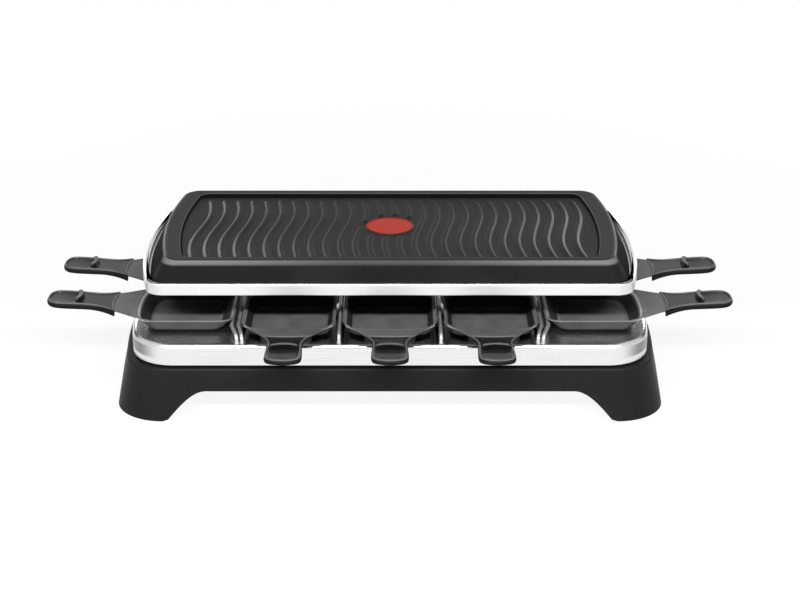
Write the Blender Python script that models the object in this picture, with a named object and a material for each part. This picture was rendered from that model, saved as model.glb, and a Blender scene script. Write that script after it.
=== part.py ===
"""Raclette grill for ten people, built piece by piece.

A moulded base on four feet carries a stainless deck. Ten small pans stand on the deck, kept apart by
wire rails. Two steel uprights between the rows hold the heater casing over the pans, and a cast grill
plate lies on the casing. Metres, +X right, +Y back, +Z up, origin under the middle at floor level.
"""
import math

import bmesh
import bpy
from mathutils import Vector

# Fits and steps
touch = 0.0003
overrun = 0.004
sheet = 0.0012
end_steps = 3
corner_steps = 4
round_sides = 12
least_corner_share = 0.25
smooth_angle = math.radians(35)

# Base
pad_height = 0.003
pad_radius = 0.008
pad_inset_x = 0.031
pad_inset_y = 0.026
base_clearance = 0.001
foot_half_length = 0.269
foot_half_depth = 0.1205
foot_corner = 0.048
base_half_length = 0.258
base_half_depth = 0.117
base_corner = 0.040
base_bulge = 0.012
base_top = 0.054
base_edge_round = 0.003
base_wall = 0.003
sole_thickness = 0.0027
arch_height = 0.0315
arch_half_foot = 0.213
arch_half_top = 0.176
side_arch_height = 0.026
side_arch_half_foot = 0.078
side_arch_half_top = 0.050
arch_steps = 6
rib_thickness = 0.003
rib_bottom = 0.0348
boss_radius = 0.0045
bore_clearance = 0.0004

# Deck
deck_top = 0.0775
deck_half_length = 0.252
deck_half_depth = 0.1145
deck_bulge = 0.012
deck_corner = 0.042
deck_band = 0.021
deck_edge_round = 0.005
upstand_inset = 0.009
lead_hole_radius = 0.009

# Pans
pan_pitch = 0.096
pan_width = 0.089
pan_length = 0.089
pan_height = 0.0142
pan_corner = 0.014
pan_lip = 0.002
pan_shoulder_share = 0.76
neck_end = 0.0715
neck_smooth_share = 0.3
neck_width = 0.043
tang_width = 0.022
tang_end = 0.0935
bowl_far_end = 0.051
floor_inner_end = 0.0155
floor_far_end = 0.036
floor_side_slope = 0.0085
floor_corner = 0.009
floor_fillet = 0.0025
neck_rise = math.radians(3.4)
neck_start_share = 0.92
pan_corner_steps = 2
neck_steps = 4
bowl_squareness = 0.70
row_gap = 0.028
end_pair_gap = 0.003

# Pan handles
handle_root = 0.0717
handle_tip = 0.1395
handle_root_width = 0.047
handle_waist_width = 0.032
handle_spoon_width = 0.034
handle_top_rise = 0.0032
handle_skirt = 0.0036
skirt_shares = (1.6, 1.2, 0.85)
handle_edge = 0.0022
spoon_depth = 0.0020
stop_height = 0.0052
stop_width = 0.022
stop_thickness = 0.0032
stop_bow = 0.005
stop_step = 0.0006
stop_front = 0.1085
flare_length_shares = (0.13, 0.32)
flare_width_share = 0.62
spoon_length_shares = (0.72, 0.92)
spoon_width_shares = (0.94, 0.55)
spoon_thin_shares = (0.9, 0.8)
spoon_end_dish_share = 0.6
spoon_inner_share = 0.8
slot_width_shares = (-1.0, -1.0, -1.0, -0.6, 0.0, 0.6, 1.0, 1.0, 1.0, 0.0)
slot_height_shares = (-1, 0, 1, 1, 1, 1, 1, 0, -1, -1)

# Wire rails
wire_diameter = 0.0035
wire_height = 0.0075
wire_bend = 0.006
wire_leg_inset = 0.0055
wire_leg_end = 0.002
wire_bend_steps = 3
corner_bend_steps = 2
rod_resolution = 2
corner_pair_x = 0.1415
corner_splay_y = 0.085
leg_web = 0.0008
outer_rail_tuck = 0.0034

# Heater
casing_bottom = 0.1245
casing_top = 0.1365
casing_half_length = 0.240
casing_half_depth = 0.107
casing_bulge = 0.0145
casing_corner = 0.018
casing_round = 0.003
casing_flange = 0.012
rim_half_length = 0.233
rim_half_depth = 0.1048
rim_bulge = 0.010
rim_corner = 0.014
ledge_top = 0.132
ledge_width = 0.010

# Grill plate
plate_half_length = 0.2315
plate_half_depth = 0.1036
plate_bulge = 0.0095
plate_corner = 0.0125
plate_top = 0.158
plate_floor_depth = 0.0035
plate_floor_thickness = 0.0045
plate_wall = 0.0045
plate_draft = 0.0015
plate_shoulder = 0.006
plate_shoulder_run = 0.0026
plate_end_flare = 0.0097
flare_shares = (0.75, 0.93)
plate_rim_end = 0.0277
plate_rim_side = 0.0101
recess_slope = 0.003
recess_depth_share = 0.7
shoulder_shares = (0.3, 0.25)
rib_count = 27
rib_pitch = 0.0141
rib_reach = 0.080
rib_wave = 0.0052
rib_foot = 0.0066
rib_crest = 0.0034
rib_height = 0.0018
rib_root = 0.0008
rib_segments = 6
spot_radius = 0.0235
spot_thickness = 0.0016
spot_pocket = 0.0010
spot_margin = 0.0035
spot_sides = 28

# Heater supports and element
column_x = pan_pitch
column_length = 0.056
column_depth = 0.022
column_wall = 0.0015
column_tab = 0.012
strap_width = 0.014
strap_reach = 0.100
strap_rest = 0.0085
strap_rise = 0.0057
strap_slope = 0.008
element_diameter = 0.0065
element_inner_y = 0.030
element_outer_y = 0.078
element_left = 0.195
element_right = 0.200
element_bend = 0.010
terminal_bend = 0.0055
element_bend_steps = 3
element_sides = 8
terminal_pitch = 0.032
terminal_drop = 0.0140
pin_radius = 0.0018
pin_length = 0.014
seal_wall = 0.0017
seal_flange = 0.0032
seal_flange_height = 0.0018

# Wiring
block_length = 0.044
block_depth = 0.014
block_height = 0.014
pin_bore_depth = 0.010
lead_diameter = 0.0024
lead_pitch = 0.005
lead_bend = 0.009
lead_bend_steps = 5
supply_length = 0.030
supply_depth = 0.018
supply_height = 0.011
supply_y = 0.050
supply_lead_height = 0.006
cover_thickness = 0.0025
cover_margin = 0.006
cover_far_y = 0.096
cover_screw_y = 0.048
gland_height = 0.0432
gland_bore = 0.0036
gland_neck = 0.0055
gland_flange = 0.0074
gland_flange_height = 0.0025
gland_tail = 0.004
clamp_y = 0.080
clamp_length = 0.030
clamp_depth = 0.009
clamp_height = 0.010
clamp_arch = 0.0042
clamp_screw_x = 0.0105

# Screws
screw_radius = 0.0018
screw_head_radius = 0.0036
screw_head = 0.0022
deck_screw_length = 0.014
column_screw_length = 0.009
cover_screw_length = 0.010
clamp_screw_length = 0.012
screw_sides = 8

# Values that follow from the sizes above
deck_under = deck_top - sheet
seat = deck_top + touch
slot = pan_pitch - pan_width
end_pan_inner = pan_pitch + pan_width / 2 + slot
row_y = row_gap / 2 + pan_length / 2
end_pan_x = end_pan_inner + pan_length / 2
end_pan_y = pan_width / 2 + end_pair_gap / 2
leg_y = deck_half_depth - wire_leg_inset
leg_shift = wire_diameter / 2 + touch + leg_web / 2
upstand_top = deck_under - touch
rib_rows = (column_x - column_length / 2 - column_tab / 2, column_x + column_length / 2 + column_tab / 2)
strap_foot = casing_bottom + sheet + touch
strap_top = strap_foot + sheet + strap_rise
element_z = strap_top + touch + element_diameter / 2
column_top = strap_top - sheet - touch
plate_floor = plate_top - plate_floor_depth
plate_under = plate_floor - plate_floor_thickness
terminal_xs = (column_x - terminal_pitch / 2, column_x + terminal_pitch / 2)
element_end = column_top - terminal_drop
pin_low = element_end - pin_length
block_top = pin_low + pin_bore_depth
cover_top = rib_bottom - touch


def clear_scene():
    """Remove whatever the file opened with."""
    for item in list(bpy.data.objects):
        bpy.data.objects.remove(item, do_unlink=True)


def finish(name, colour, roughness, metallic=0.0):
    """A plain Principled material."""
    made = bpy.data.materials.new(name)
    made.use_nodes = True
    shader = made.node_tree.nodes["Principled BSDF"]
    shader.inputs["Base Color"].default_value = (*colour, 1.0)
    shader.inputs["Roughness"].default_value = roughness
    shader.inputs["Metallic"].default_value = metallic
    made.diffuse_color = (*colour, 1.0)
    return made


def add_object(name, data, material):
    """Put mesh or curve data in the scene under one name."""
    made = bpy.data.objects.new(name, data)
    bpy.context.collection.objects.link(made)
    if material is not None and not data.materials:
        data.materials.append(material)
    return made


def mesh_from_bodies(name, bodies, loop=False):
    """One mesh of closed bodies; each body is a list of rings with equal numbers of points."""
    form = bmesh.new()
    for rings in bodies:
        rows = [[form.verts.new(point) for point in ring] for ring in rings]
        count = len(rows[0])
        following = rows[1:] + rows[:1] if loop else rows[1:]
        for low, high in zip(rows, following):
            for i in range(count):
                j = (i + 1) % count
                form.faces.new((low[i], low[j], high[j], high[i]))
        if not loop:
            form.faces.new(rows[0])
            form.faces.new(rows[-1])
    bmesh.ops.recalc_face_normals(form, faces=form.faces)
    mesh = bpy.data.meshes.new(name)
    form.to_mesh(mesh)
    form.free()
    mesh.shade_smooth()
    mesh.set_sharp_from_angle(angle=smooth_angle)
    return mesh


def loft(name, rings, material, loop=False):
    """One object from one lofted body."""
    return add_object(name, mesh_from_bodies(name, [rings], loop), material)


def level(points, z):
    """Lift a flat outline to a height."""
    return [(x, y, z) for x, y in points]


def barrel(half_length, half_depth, bulge, corner, inset=0.0):
    """A rounded rectangle whose short ends bow outwards, anticlockwise from +X."""
    length = half_length - inset
    depth = half_depth - inset
    rounding = max(corner - inset, corner * least_corner_share)
    radius = (depth ** 2 + bulge ** 2) / (2 * bulge)
    arc_x = length - radius
    centre_y = depth - rounding
    centre_x = arc_x + math.sqrt((radius - rounding) ** 2 - centre_y ** 2)
    turn = math.atan2(centre_y, centre_x - arc_x)
    quarter = []
    for step in range(end_steps):
        angle = turn * step / end_steps
        quarter.append((arc_x + radius * math.cos(angle), radius * math.sin(angle)))
    for step in range(corner_steps + 1):
        angle = turn + (math.pi / 2 - turn) * step / corner_steps
        quarter.append((centre_x + rounding * math.cos(angle), centre_y + rounding * math.sin(angle)))
    upper = quarter + [(-x, y) for x, y in reversed(quarter)]
    return upper + [(x, -y) for x, y in reversed(upper[1:-1])]


def rectangle(low_x, high_x, low_y, high_y):
    """Four corners, anticlockwise."""
    return [(low_x, low_y), (high_x, low_y), (high_x, high_y), (low_x, high_y)]


def block_rings(low, high):
    """Two rings of an upright box between opposite corners."""
    corners = rectangle(low[0], high[0], low[1], high[1])
    return [level(corners, low[2]), level(corners, high[2])]


def circle(radius, z, sides, centre=(0.0, 0.0)):
    """A ring of points round a vertical axis."""
    angles = [2 * math.pi * side / sides for side in range(sides)]
    return [(centre[0] + radius * math.cos(a), centre[1] + radius * math.sin(a), z) for a in angles]


def turned_rings(profile, sides, centre=(0.0, 0.0)):
    """Rings of a turned body from (radius, height) pairs."""
    return [circle(radius, z, sides, centre) for radius, z in profile]


def bent(corners, radius, steps, end_radius=None):
    """A path through corner points with round bends; the first and last may be tighter."""
    points = [Vector(corners[0])]
    radii = [radius] * (len(corners) - 2)
    if end_radius:
        radii[0] = radii[-1] = end_radius
    for before, corner, after, radius in zip(corners, corners[1:], corners[2:], radii):
        middle = Vector(corner)
        back = (Vector(before) - middle).normalized()
        ahead = (Vector(after) - middle).normalized()
        half = back.angle(ahead) / 2
        centre = middle + (back + ahead).normalized() * (radius / math.sin(half))
        start = middle + back * (radius / math.tan(half))
        stop = middle + ahead * (radius / math.tan(half))
        first = (start - centre).normalized()
        last = (stop - centre).normalized()
        for step in range(steps + 1):
            points.append(centre + first.slerp(last, step / steps) * radius)
    points.append(Vector(corners[-1]))
    return points


def rod(name, points, diameter, material):
    """A round bar along a path."""
    curve = bpy.data.curves.new(name, "CURVE")
    curve.dimensions = "3D"
    curve.bevel_depth = diameter / 2
    curve.bevel_resolution = rod_resolution
    curve.use_fill_caps = True
    spline = curve.splines.new("POLY")
    spline.points.add(len(points) - 1)
    for slot_point, point in zip(spline.points, points):
        slot_point.co = (*point, 1.0)
    return add_object(name, curve, material)


def tool(name, bodies, loop=False):
    """A hidden shape that only cuts or adds."""
    made = add_object(name, mesh_from_bodies(name, bodies, loop), None)
    made.hide_render = True
    made.display_type = "WIRE"
    return made


def combine(target, shape, operation):
    """Cut or add a hidden shape."""
    modifier = target.modifiers.new(shape.name, "BOOLEAN")
    modifier.operation = operation
    modifier.solver = "EXACT"
    modifier.object = shape


def bores(name, places, radius, low, high, sides=round_sides):
    """Upright round cutters at several places."""
    bodies = [turned_rings([(radius, low), (radius, high)], sides, place) for place in places]
    return tool(name, bodies)


def screw(name, head_seat, length, centre, material):
    """A screw with its head above the seat, or below it where the length is negative."""
    away = math.copysign(screw_head, length)
    profile = [(screw_radius, head_seat - length), (screw_radius, head_seat), (screw_head_radius, head_seat),
               (screw_head_radius, head_seat + away / 2), (screw_head_radius / 2, head_seat + away)]
    return loft(name, turned_rings(profile, screw_sides, centre), material)


def both_sides(places):
    """Mirror places to the other side of the middle."""
    return [(x * side, y) for side in (-1, 1) for x, y in places]


def arch_profile(half_foot, half_top, height):
    """Half-widths and heights of an arch whose flanks ease into a flat top."""
    pairs = [(half_foot, -overrun)]
    for step in range(arch_steps + 1):
        share = step / arch_steps
        pairs.append((half_foot + (half_top - half_foot) * share, height * math.sin(share * math.pi / 2)))
    return pairs


def base_outline(inset=0.0):
    """The base at its top edge."""
    return barrel(base_half_length, base_half_depth, base_bulge, base_corner, inset)


def foot_outline(inset=0.0):
    """The base at floor level."""
    return barrel(foot_half_length, foot_half_depth, base_bulge, foot_corner, inset)


def deck_outline(inset=0.0):
    """The deck seen from above."""
    return barrel(deck_half_length, deck_half_depth, deck_bulge, deck_corner, inset)


def make_base(material):
    """Moulded base: flared apron, shelf, upstand, ribs, bosses and four feet between arches."""
    shelf_under = base_top - base_wall
    upstand_inner = upstand_inset + base_wall
    rings = [
        level(foot_outline(), base_clearance),
        level(base_outline(), base_top - base_edge_round),
        level(base_outline(base_edge_round / 3), base_top - base_edge_round / 3),
        level(base_outline(base_edge_round), base_top),
        level(deck_outline(upstand_inset), base_top),
        level(deck_outline(upstand_inset), upstand_top),
        level(deck_outline(upstand_inner), upstand_top),
        level(deck_outline(upstand_inner), shelf_under),
        level(base_outline(base_wall), shelf_under),
        level(foot_outline(base_wall), base_clearance),
    ]
    shell = loft("base_shell", rings, material, loop=True)

    sole_low = pad_height + touch
    soles = tool("sole_slab", [[level(foot_outline(base_wall / 2), sole_low),
                                level(foot_outline(base_wall / 2), sole_low + sole_thickness)]])
    combine(shell, soles, "UNION")

    rib_reach_y = deck_half_depth - upstand_inset - base_wall / 2
    bodies = []
    for x in rib_rows:
        for side in (-1, 1):
            bodies.append(block_rings((side * x - rib_thickness / 2, -rib_reach_y, rib_bottom),
                                      (side * x + rib_thickness / 2, rib_reach_y, upstand_top)))
    combine(shell, tool("ribs", bodies), "UNION")

    far = [(x, cover_screw_y) for x in rib_rows]
    middle = [(x, 0.0) for x in rib_rows]
    bosses = bores("bosses", both_sides(middle) + far, boss_radius, rib_bottom, upstand_top)
    combine(shell, bosses, "UNION")

    beyond = 2 * foot_half_depth
    arch = arch_profile(arch_half_foot, arch_half_top, arch_height)
    outline = [(-x, z) for x, z in arch] + [(x, z) for x, z in reversed(arch)]
    front = [[(x, side * beyond, z) for x, z in outline] for side in (-1, 1)]
    combine(shell, tool("long_arches", [front]), "DIFFERENCE")

    beyond = 2 * foot_half_length
    arch = arch_profile(side_arch_half_foot, side_arch_half_top, side_arch_height)
    outline = [(-y, z) for y, z in arch] + [(y, z) for y, z in reversed(arch)]
    ends = [[(side * beyond, y, z) for y, z in outline] for side in (-1, 1)]
    combine(shell, tool("end_arches", [ends]), "DIFFERENCE")

    pilots = bores("pilots", both_sides(middle) + far, screw_radius + bore_clearance,
                   rib_bottom - overrun, upstand_top + overrun)
    combine(shell, pilots, "DIFFERENCE")

    profile = [(gland_neck + touch, -gland_flange), (gland_neck + touch, gland_flange)]
    hole = tool("gland_hole", [turned_rings(profile, round_sides)])
    set_gland_pose(hole)
    combine(shell, hole, "DIFFERENCE")
    return shell


def make_pads(material):
    """Four rubber pads under the feet."""
    reach_x = foot_half_length - pad_inset_x
    reach_y = foot_half_depth - pad_inset_y
    for word, side in (("left", -1), ("right", 1)):
        for end, way in (("front", -1), ("rear", 1)):
            place = (side * reach_x, way * reach_y)
            profile = [(pad_radius, 0.0), (pad_radius, pad_height)]
            loft("rubber_foot_" + end + "_" + word, turned_rings(profile, round_sides, place), material)


def wire_legs():
    """Where the wire legs pass through the deck, on the right-hand side."""
    shift = leg_shift
    xs = (pan_pitch / 2, corner_pair_x - shift, corner_pair_x + shift)
    return [(x, side * leg_y) for x in xs for side in (-1, 1)]


def make_deck(material):
    """Stainless deck with a rounded edge and a band turned down all round."""
    band_low = deck_top - deck_band
    edge = deck_edge_round
    eased = edge * (1 - math.sqrt(0.5))
    rings = [
        level(deck_outline(edge), deck_top),
        level(deck_outline(eased), deck_top - eased),
        level(deck_outline(), deck_top - edge),
        level(deck_outline(), band_low),
        level(deck_outline(sheet), band_low),
        level(deck_outline(sheet), deck_top - edge),
        level(deck_outline(eased + sheet / 2), deck_under - eased),
        level(deck_outline(edge), deck_under),
    ]
    deck = loft("deck_tray", rings, material)
    low = deck_under - overrun
    high = deck_top + overrun
    legs = bores("leg_holes", both_sides(wire_legs()), wire_diameter / 2 + touch, low, high, screw_sides)
    combine(deck, legs, "DIFFERENCE")
    screws = bores("deck_screw_holes", both_sides([(x, 0.0) for x in rib_rows]),
                   screw_radius + bore_clearance, low, high, screw_sides)
    combine(deck, screws, "DIFFERENCE")
    combine(deck, bores("lead_hole", [(column_x, 0.0)], lead_hole_radius, low, high), "DIFFERENCE")


def make_rails(material):
    """Wire rails between the pans, standing in the deck near its front and back edges."""
    height = deck_top + wire_height
    foot = deck_under - wire_leg_end
    shift = leg_shift
    inner_x = pan_pitch + pan_width / 2 + slot / 2
    outer_x = end_pan_inner + outer_rail_tuck
    for word, side in (("left", -1), ("right", 1)):
        x = side * pan_pitch / 2
        path = [(x, -leg_y, foot), (x, -leg_y, height), (x, leg_y, height), (x, leg_y, foot)]
        rod("divider_rail_" + word, bent(path, wire_bend, wire_bend_steps), wire_diameter, material)
        for name, leg_x, rail_x in (("inner", corner_pair_x - shift, inner_x),
                                    ("outer", corner_pair_x + shift, outer_x)):
            path = [(side * leg_x, -leg_y, foot), (side * leg_x, -leg_y, height),
                    (side * rail_x, -corner_splay_y, height), (side * rail_x, corner_splay_y, height),
                    (side * leg_x, leg_y, height), (side * leg_x, leg_y, foot)]
            rod("corner_rail_" + name + "_" + word, bent(path, wire_bend, corner_bend_steps), wire_diameter,
                material)


def pan_edge():
    """Half outline of a pan's rim, neck and tang, from its inner end to the tang's tip."""
    half_length = pan_length / 2
    half_width = pan_width / 2
    points = [(-half_length, 0.0)]
    for step in range(pan_corner_steps + 1):
        angle = math.pi - math.pi / 2 * step / pan_corner_steps
        points.append((-half_length + pan_corner + pan_corner * math.cos(angle),
                       half_width - pan_corner + pan_corner * math.sin(angle)))
    shoulder = half_length * pan_shoulder_share
    for step in range(neck_steps + 1):
        share = step / neck_steps
        smooth = share * share * (3 - 2 * share)
        narrowing = share + (smooth - share) * neck_smooth_share
        points.append((shoulder + (neck_end - shoulder) * share,
                       half_width + (neck_width / 2 - half_width) * narrowing))
    points += [(neck_end, tang_width / 2), (tang_end, tang_width / 2), (tang_end, 0.0)]
    return points


def bowl_edge(inner_end, half_width, corner, shoulder, far_end):
    """Half outline of the bowl with as many points as the rim's: square inner end, bowed outer end."""
    points = [(inner_end, 0.0)]
    for step in range(pan_corner_steps + 1):
        angle = math.pi - math.pi / 2 * step / pan_corner_steps
        points.append((inner_end + corner + corner * math.cos(angle),
                       half_width - corner + corner * math.sin(angle)))
    reach = far_end - shoulder
    last = math.acos((tang_width / 2 / half_width) ** (1 / bowl_squareness))
    for step in range(neck_steps + 2):
        angle = last * step / (neck_steps + 1)
        points.append((shoulder + reach * math.sin(angle) ** bowl_squareness,
                       half_width * math.cos(angle) ** bowl_squareness))
    return points + [(far_end, tang_width / 4), (far_end, 0.0)]


def full(half):
    """Close a half outline by mirroring it across its axis."""
    return half + [(x, -y) for x, y in reversed(half[1:-1])]


def neck_z(x):
    """Height of the rim's top, which rises along the neck."""
    start = bowl_far_end * neck_start_share
    return pan_height + max(0.0, x - start) * math.tan(neck_rise)


def pan_mesh():
    """Pressed pan: bowl, flat rim, rising neck and the tang inside the handle."""
    rim = full(pan_edge())
    half_length = pan_length / 2
    half_width = pan_width / 2
    shoulder = half_length * pan_shoulder_share
    floor_shoulder = shoulder - floor_side_slope

    def mouth(grow):
        return full(bowl_edge(-half_length + pan_lip - grow, half_width - pan_lip + grow,
                              pan_corner - pan_lip + grow, shoulder, bowl_far_end + grow))

    def floor(grow):
        return full(bowl_edge(-half_length + floor_inner_end - grow, half_width - floor_side_slope + grow,
                              floor_corner + grow, floor_shoulder, floor_far_end + grow))

    outer = sheet / 2
    rings = [
        level(floor(-floor_fillet / 2), sheet),
        level(floor(floor_fillet / 2), sheet + floor_fillet / 2),
        level(mouth(0.0), pan_height),
        [(x, y, neck_z(x)) for x, y in rim],
        [(x, y, neck_z(x) - sheet) for x, y in rim],
        level(mouth(outer), pan_height - sheet),
        level(floor(floor_fillet / 2 + outer), floor_fillet / 2),
        level(floor(-floor_fillet / 2), 0.0),
    ]
    return mesh_from_bodies("pan", [rings])


def handle_section(x, half_width, deep=skirt_shares[-1], dish=0.0, bow=0.0, stop=0.0, thin=1.0):
    """One cross-section of a handle; bow shifts its middle along the handle, stop lifts it."""
    middle = neck_z(x) - sheet / 2
    top = middle + handle_top_rise * thin
    low = middle - handle_skirt * thin * deep
    shoulder = max(half_width - handle_edge, half_width / 2)
    inner = min(stop_width / 2, shoulder * spoon_inner_share)
    rise = top - dish + stop
    edge = top - handle_edge * thin
    return [
        (x, -half_width, low), (x, -half_width, edge), (x, -shoulder, top), (x, -inner, rise),
        (x - bow, 0.0, rise - dish / 2), (x, inner, rise), (x, shoulder, top),
        (x, half_width, edge), (x, half_width, low), (x, 0.0, low),
    ]


def slot_ring(x, half_width, half_height):
    """The tang's slot with as many points as a handle section."""
    middle = neck_z(x) - sheet / 2
    return [(x, half_width * across, middle + half_height * up)
            for across, up in zip(slot_width_shares, slot_height_shares)]


def handle_mesh():
    """Moulded handle: root, waist, crescent thumb stop and a shallow spoon-shaped tip."""
    root = handle_root_width / 2
    waist = handle_waist_width / 2
    spoon = handle_spoon_width / 2
    length = handle_tip - handle_root
    stop_back = stop_front + stop_thickness
    slot_half = tang_width / 2 + touch
    slot_height = sheet / 2 + touch
    slot_end = tang_end + touch
    rings = [
        slot_ring(slot_end, slot_half, slot_height),
        slot_ring(handle_root, slot_half, slot_height),
        handle_section(handle_root, root, skirt_shares[0]),
        handle_section(handle_root + length * flare_length_shares[0],
                       waist + (root - waist) * flare_width_share, skirt_shares[1]),
        handle_section(handle_root + length * flare_length_shares[1], waist),
        handle_section(stop_front, waist, bow=stop_bow),
        handle_section(stop_front + stop_step, waist, bow=stop_bow, stop=stop_height),
        handle_section(stop_back, waist, bow=stop_bow, stop=stop_height),
        handle_section(stop_back + stop_step, waist, bow=stop_bow),
        handle_section(handle_root + length * spoon_length_shares[0], spoon, dish=spoon_depth),
        handle_section(handle_root + length * spoon_length_shares[1], spoon * spoon_width_shares[0],
                       dish=spoon_depth * spoon_end_dish_share, thin=spoon_thin_shares[0]),
        handle_section(handle_tip, spoon * spoon_width_shares[1], thin=spoon_thin_shares[1]),
    ]
    return mesh_from_bodies("handle", [rings])


def pan_places():
    """Name, place and outward angle of each pan."""
    places = []
    for word, x in (("left", -pan_pitch), ("middle", 0.0), ("right", pan_pitch)):
        places.append(("front_" + word, x, -row_y, -math.pi / 2))
        places.append(("rear_" + word, x, row_y, math.pi / 2))
    for word, side, angle in (("left", -1, math.pi), ("right", 1, 0.0)):
        places.append((word + "_end_front", side * end_pan_x, -end_pan_y, angle))
        places.append((word + "_end_rear", side * end_pan_x, end_pan_y, angle))
    return places


def make_pans(pan_material, handle_material):
    """Ten pans with their handles, each under an empty at its own seat."""
    bowl = pan_mesh()
    handle = handle_mesh()
    bowl.materials.append(pan_material)
    handle.materials.append(handle_material)
    for name, x, y, angle in pan_places():
        stand = bpy.data.objects.new("stand_" + name, None)
        bpy.context.collection.objects.link(stand)
        stand.location = (x, y, seat)
        stand.rotation_euler = (0.0, 0.0, angle)
        for prefix, mesh in (("pan_", bowl), ("handle_", handle)):
            add_object(prefix + name, mesh, None).parent = stand


def casing_outline(inset=0.0):
    """The heater casing seen from above."""
    return barrel(casing_half_length, casing_half_depth, casing_bulge, casing_corner, inset)


def plate_outline(inset=0.0, flare_share=0.0):
    """The grill plate seen from above; its ends lean in by a share of their flare."""
    length = plate_half_length - plate_end_flare * flare_share
    return barrel(length, plate_half_depth, plate_bulge, plate_corner, inset)


def rim_outline():
    """The inner edge of the casing's rim, round the plate."""
    return barrel(rim_half_length, rim_half_depth, rim_bulge, rim_corner)


def make_casing(material):
    """Steel casing: outer band, rim, ledge for the plate and a flange below."""
    edge = casing_round
    flange = edge + casing_flange
    rings = [
        level(plate_outline(ledge_width), ledge_top),
        level(rim_outline(), ledge_top),
        level(rim_outline(), casing_top - sheet / 2),
        level(casing_outline(edge / 2), casing_top),
        level(casing_outline(), casing_top - edge),
        level(casing_outline(), casing_bottom + edge),
        level(casing_outline(edge / 3), casing_bottom + edge / 3),
        level(casing_outline(edge), casing_bottom),
        level(casing_outline(flange), casing_bottom),
        level(casing_outline(flange), casing_bottom + sheet),
        level(casing_outline(edge + sheet), casing_bottom + sheet),
        level(casing_outline(sheet), casing_bottom + edge + sheet),
        level(casing_outline(sheet), ledge_top - sheet - edge),
        level(rim_outline(), ledge_top - sheet),
        level(plate_outline(ledge_width), ledge_top - sheet),
    ]
    loft("heater_casing", rings, material, loop=True)


def strap_rings(x):
    """A flat strap whose ends step down to the casing's flange."""
    rest = strap_reach - strap_rest
    rise = rest - strap_slope
    low = strap_foot
    high = strap_foot + strap_rise
    line = [(-strap_reach, low), (-rest, low), (-rise, high), (rise, high), (rest, low), (strap_reach, low)]
    outline = line + [(y, z + sheet) for y, z in reversed(line)]
    return [[(x + side * strap_width / 2, y, z) for y, z in outline] for side in (-1, 1)]


def make_straps(material):
    """Three straps across the casing, welded to its flange."""
    for name, x in (("left", -column_x), ("middle", 0.0), ("right", column_x)):
        strap = loft("element_strap_" + name, strap_rings(x), material)
        if x:
            hole = bores("strap_hole_" + name, [(x, 0.0)], screw_radius + touch,
                         strap_top - overrun, strap_top + overrun, screw_sides)
            combine(strap, hole, "DIFFERENCE")


def make_columns(material, screw_material):
    """Two pressed uprights from the deck to the straps, with their screws."""
    half = column_length / 2
    deep = column_depth / 2
    wall = column_wall
    for name, side in (("left", -1), ("right", 1)):
        middle = side * column_x
        column = loft("column_" + name, block_rings((middle - half, -deep, seat),
                                                     (middle + half, deep, column_top)), material)
        hollow = tool("column_hollow_" + name,
                      [block_rings((middle - half + wall, -deep + wall, seat - overrun),
                                   (middle + half - wall, deep - wall, column_top - wall))])
        combine(column, hollow, "DIFFERENCE")
        tabs = [block_rings((middle + way * (half - wall / 2), -deep, seat),
                            (middle + way * (half + column_tab), deep, seat + wall)) for way in (-1, 1)]
        combine(column, tool("column_tabs_" + name, tabs), "UNION")
        places = [(side * x, 0.0) for x in rib_rows]
        combine(column, bores("tab_holes_" + name, places, screw_radius + bore_clearance,
                              seat - overrun, seat + overrun, screw_sides), "DIFFERENCE")
        combine(column, bores("top_hole_" + name, [(middle, 0.0)], screw_radius + touch,
                              column_top - overrun, column_top + overrun, screw_sides), "DIFFERENCE")
        screw("column_screw_" + name, strap_top + touch, column_screw_length, (middle, 0.0), screw_material)
        for word, x in zip(("inner", "outer"), rib_rows):
            screw("deck_screw_" + word + "_" + name, seat + wall + touch, deck_screw_length, (side * x, 0.0),
                  screw_material)
        if side > 0:
            places = [(x, 0.0) for x in terminal_xs]
            radius = element_diameter / 2 + touch + seal_wall + touch
            combine(column, bores("seal_holes", places, radius, column_top - overrun,
                                  column_top + overrun), "DIFFERENCE")


def swept_rings(points, radii, sides):
    """Rings round a path, turned so that the skin doesn't twist."""
    rings = []
    across = None
    for index, point in enumerate(points):
        before = points[max(index - 1, 0)]
        after = points[min(index + 1, len(points) - 1)]
        along = (after - before).normalized()
        if across is None:
            across = along.orthogonal().normalized()
        across = (across - along * across.dot(along)).normalized()
        third = along.cross(across)
        ring = []
        for side in range(sides):
            angle = 2 * math.pi * side / sides
            ring.append(point + (across * math.cos(angle) + third * math.sin(angle)) * radii[index])
        rings.append(ring)
    return rings


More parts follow.
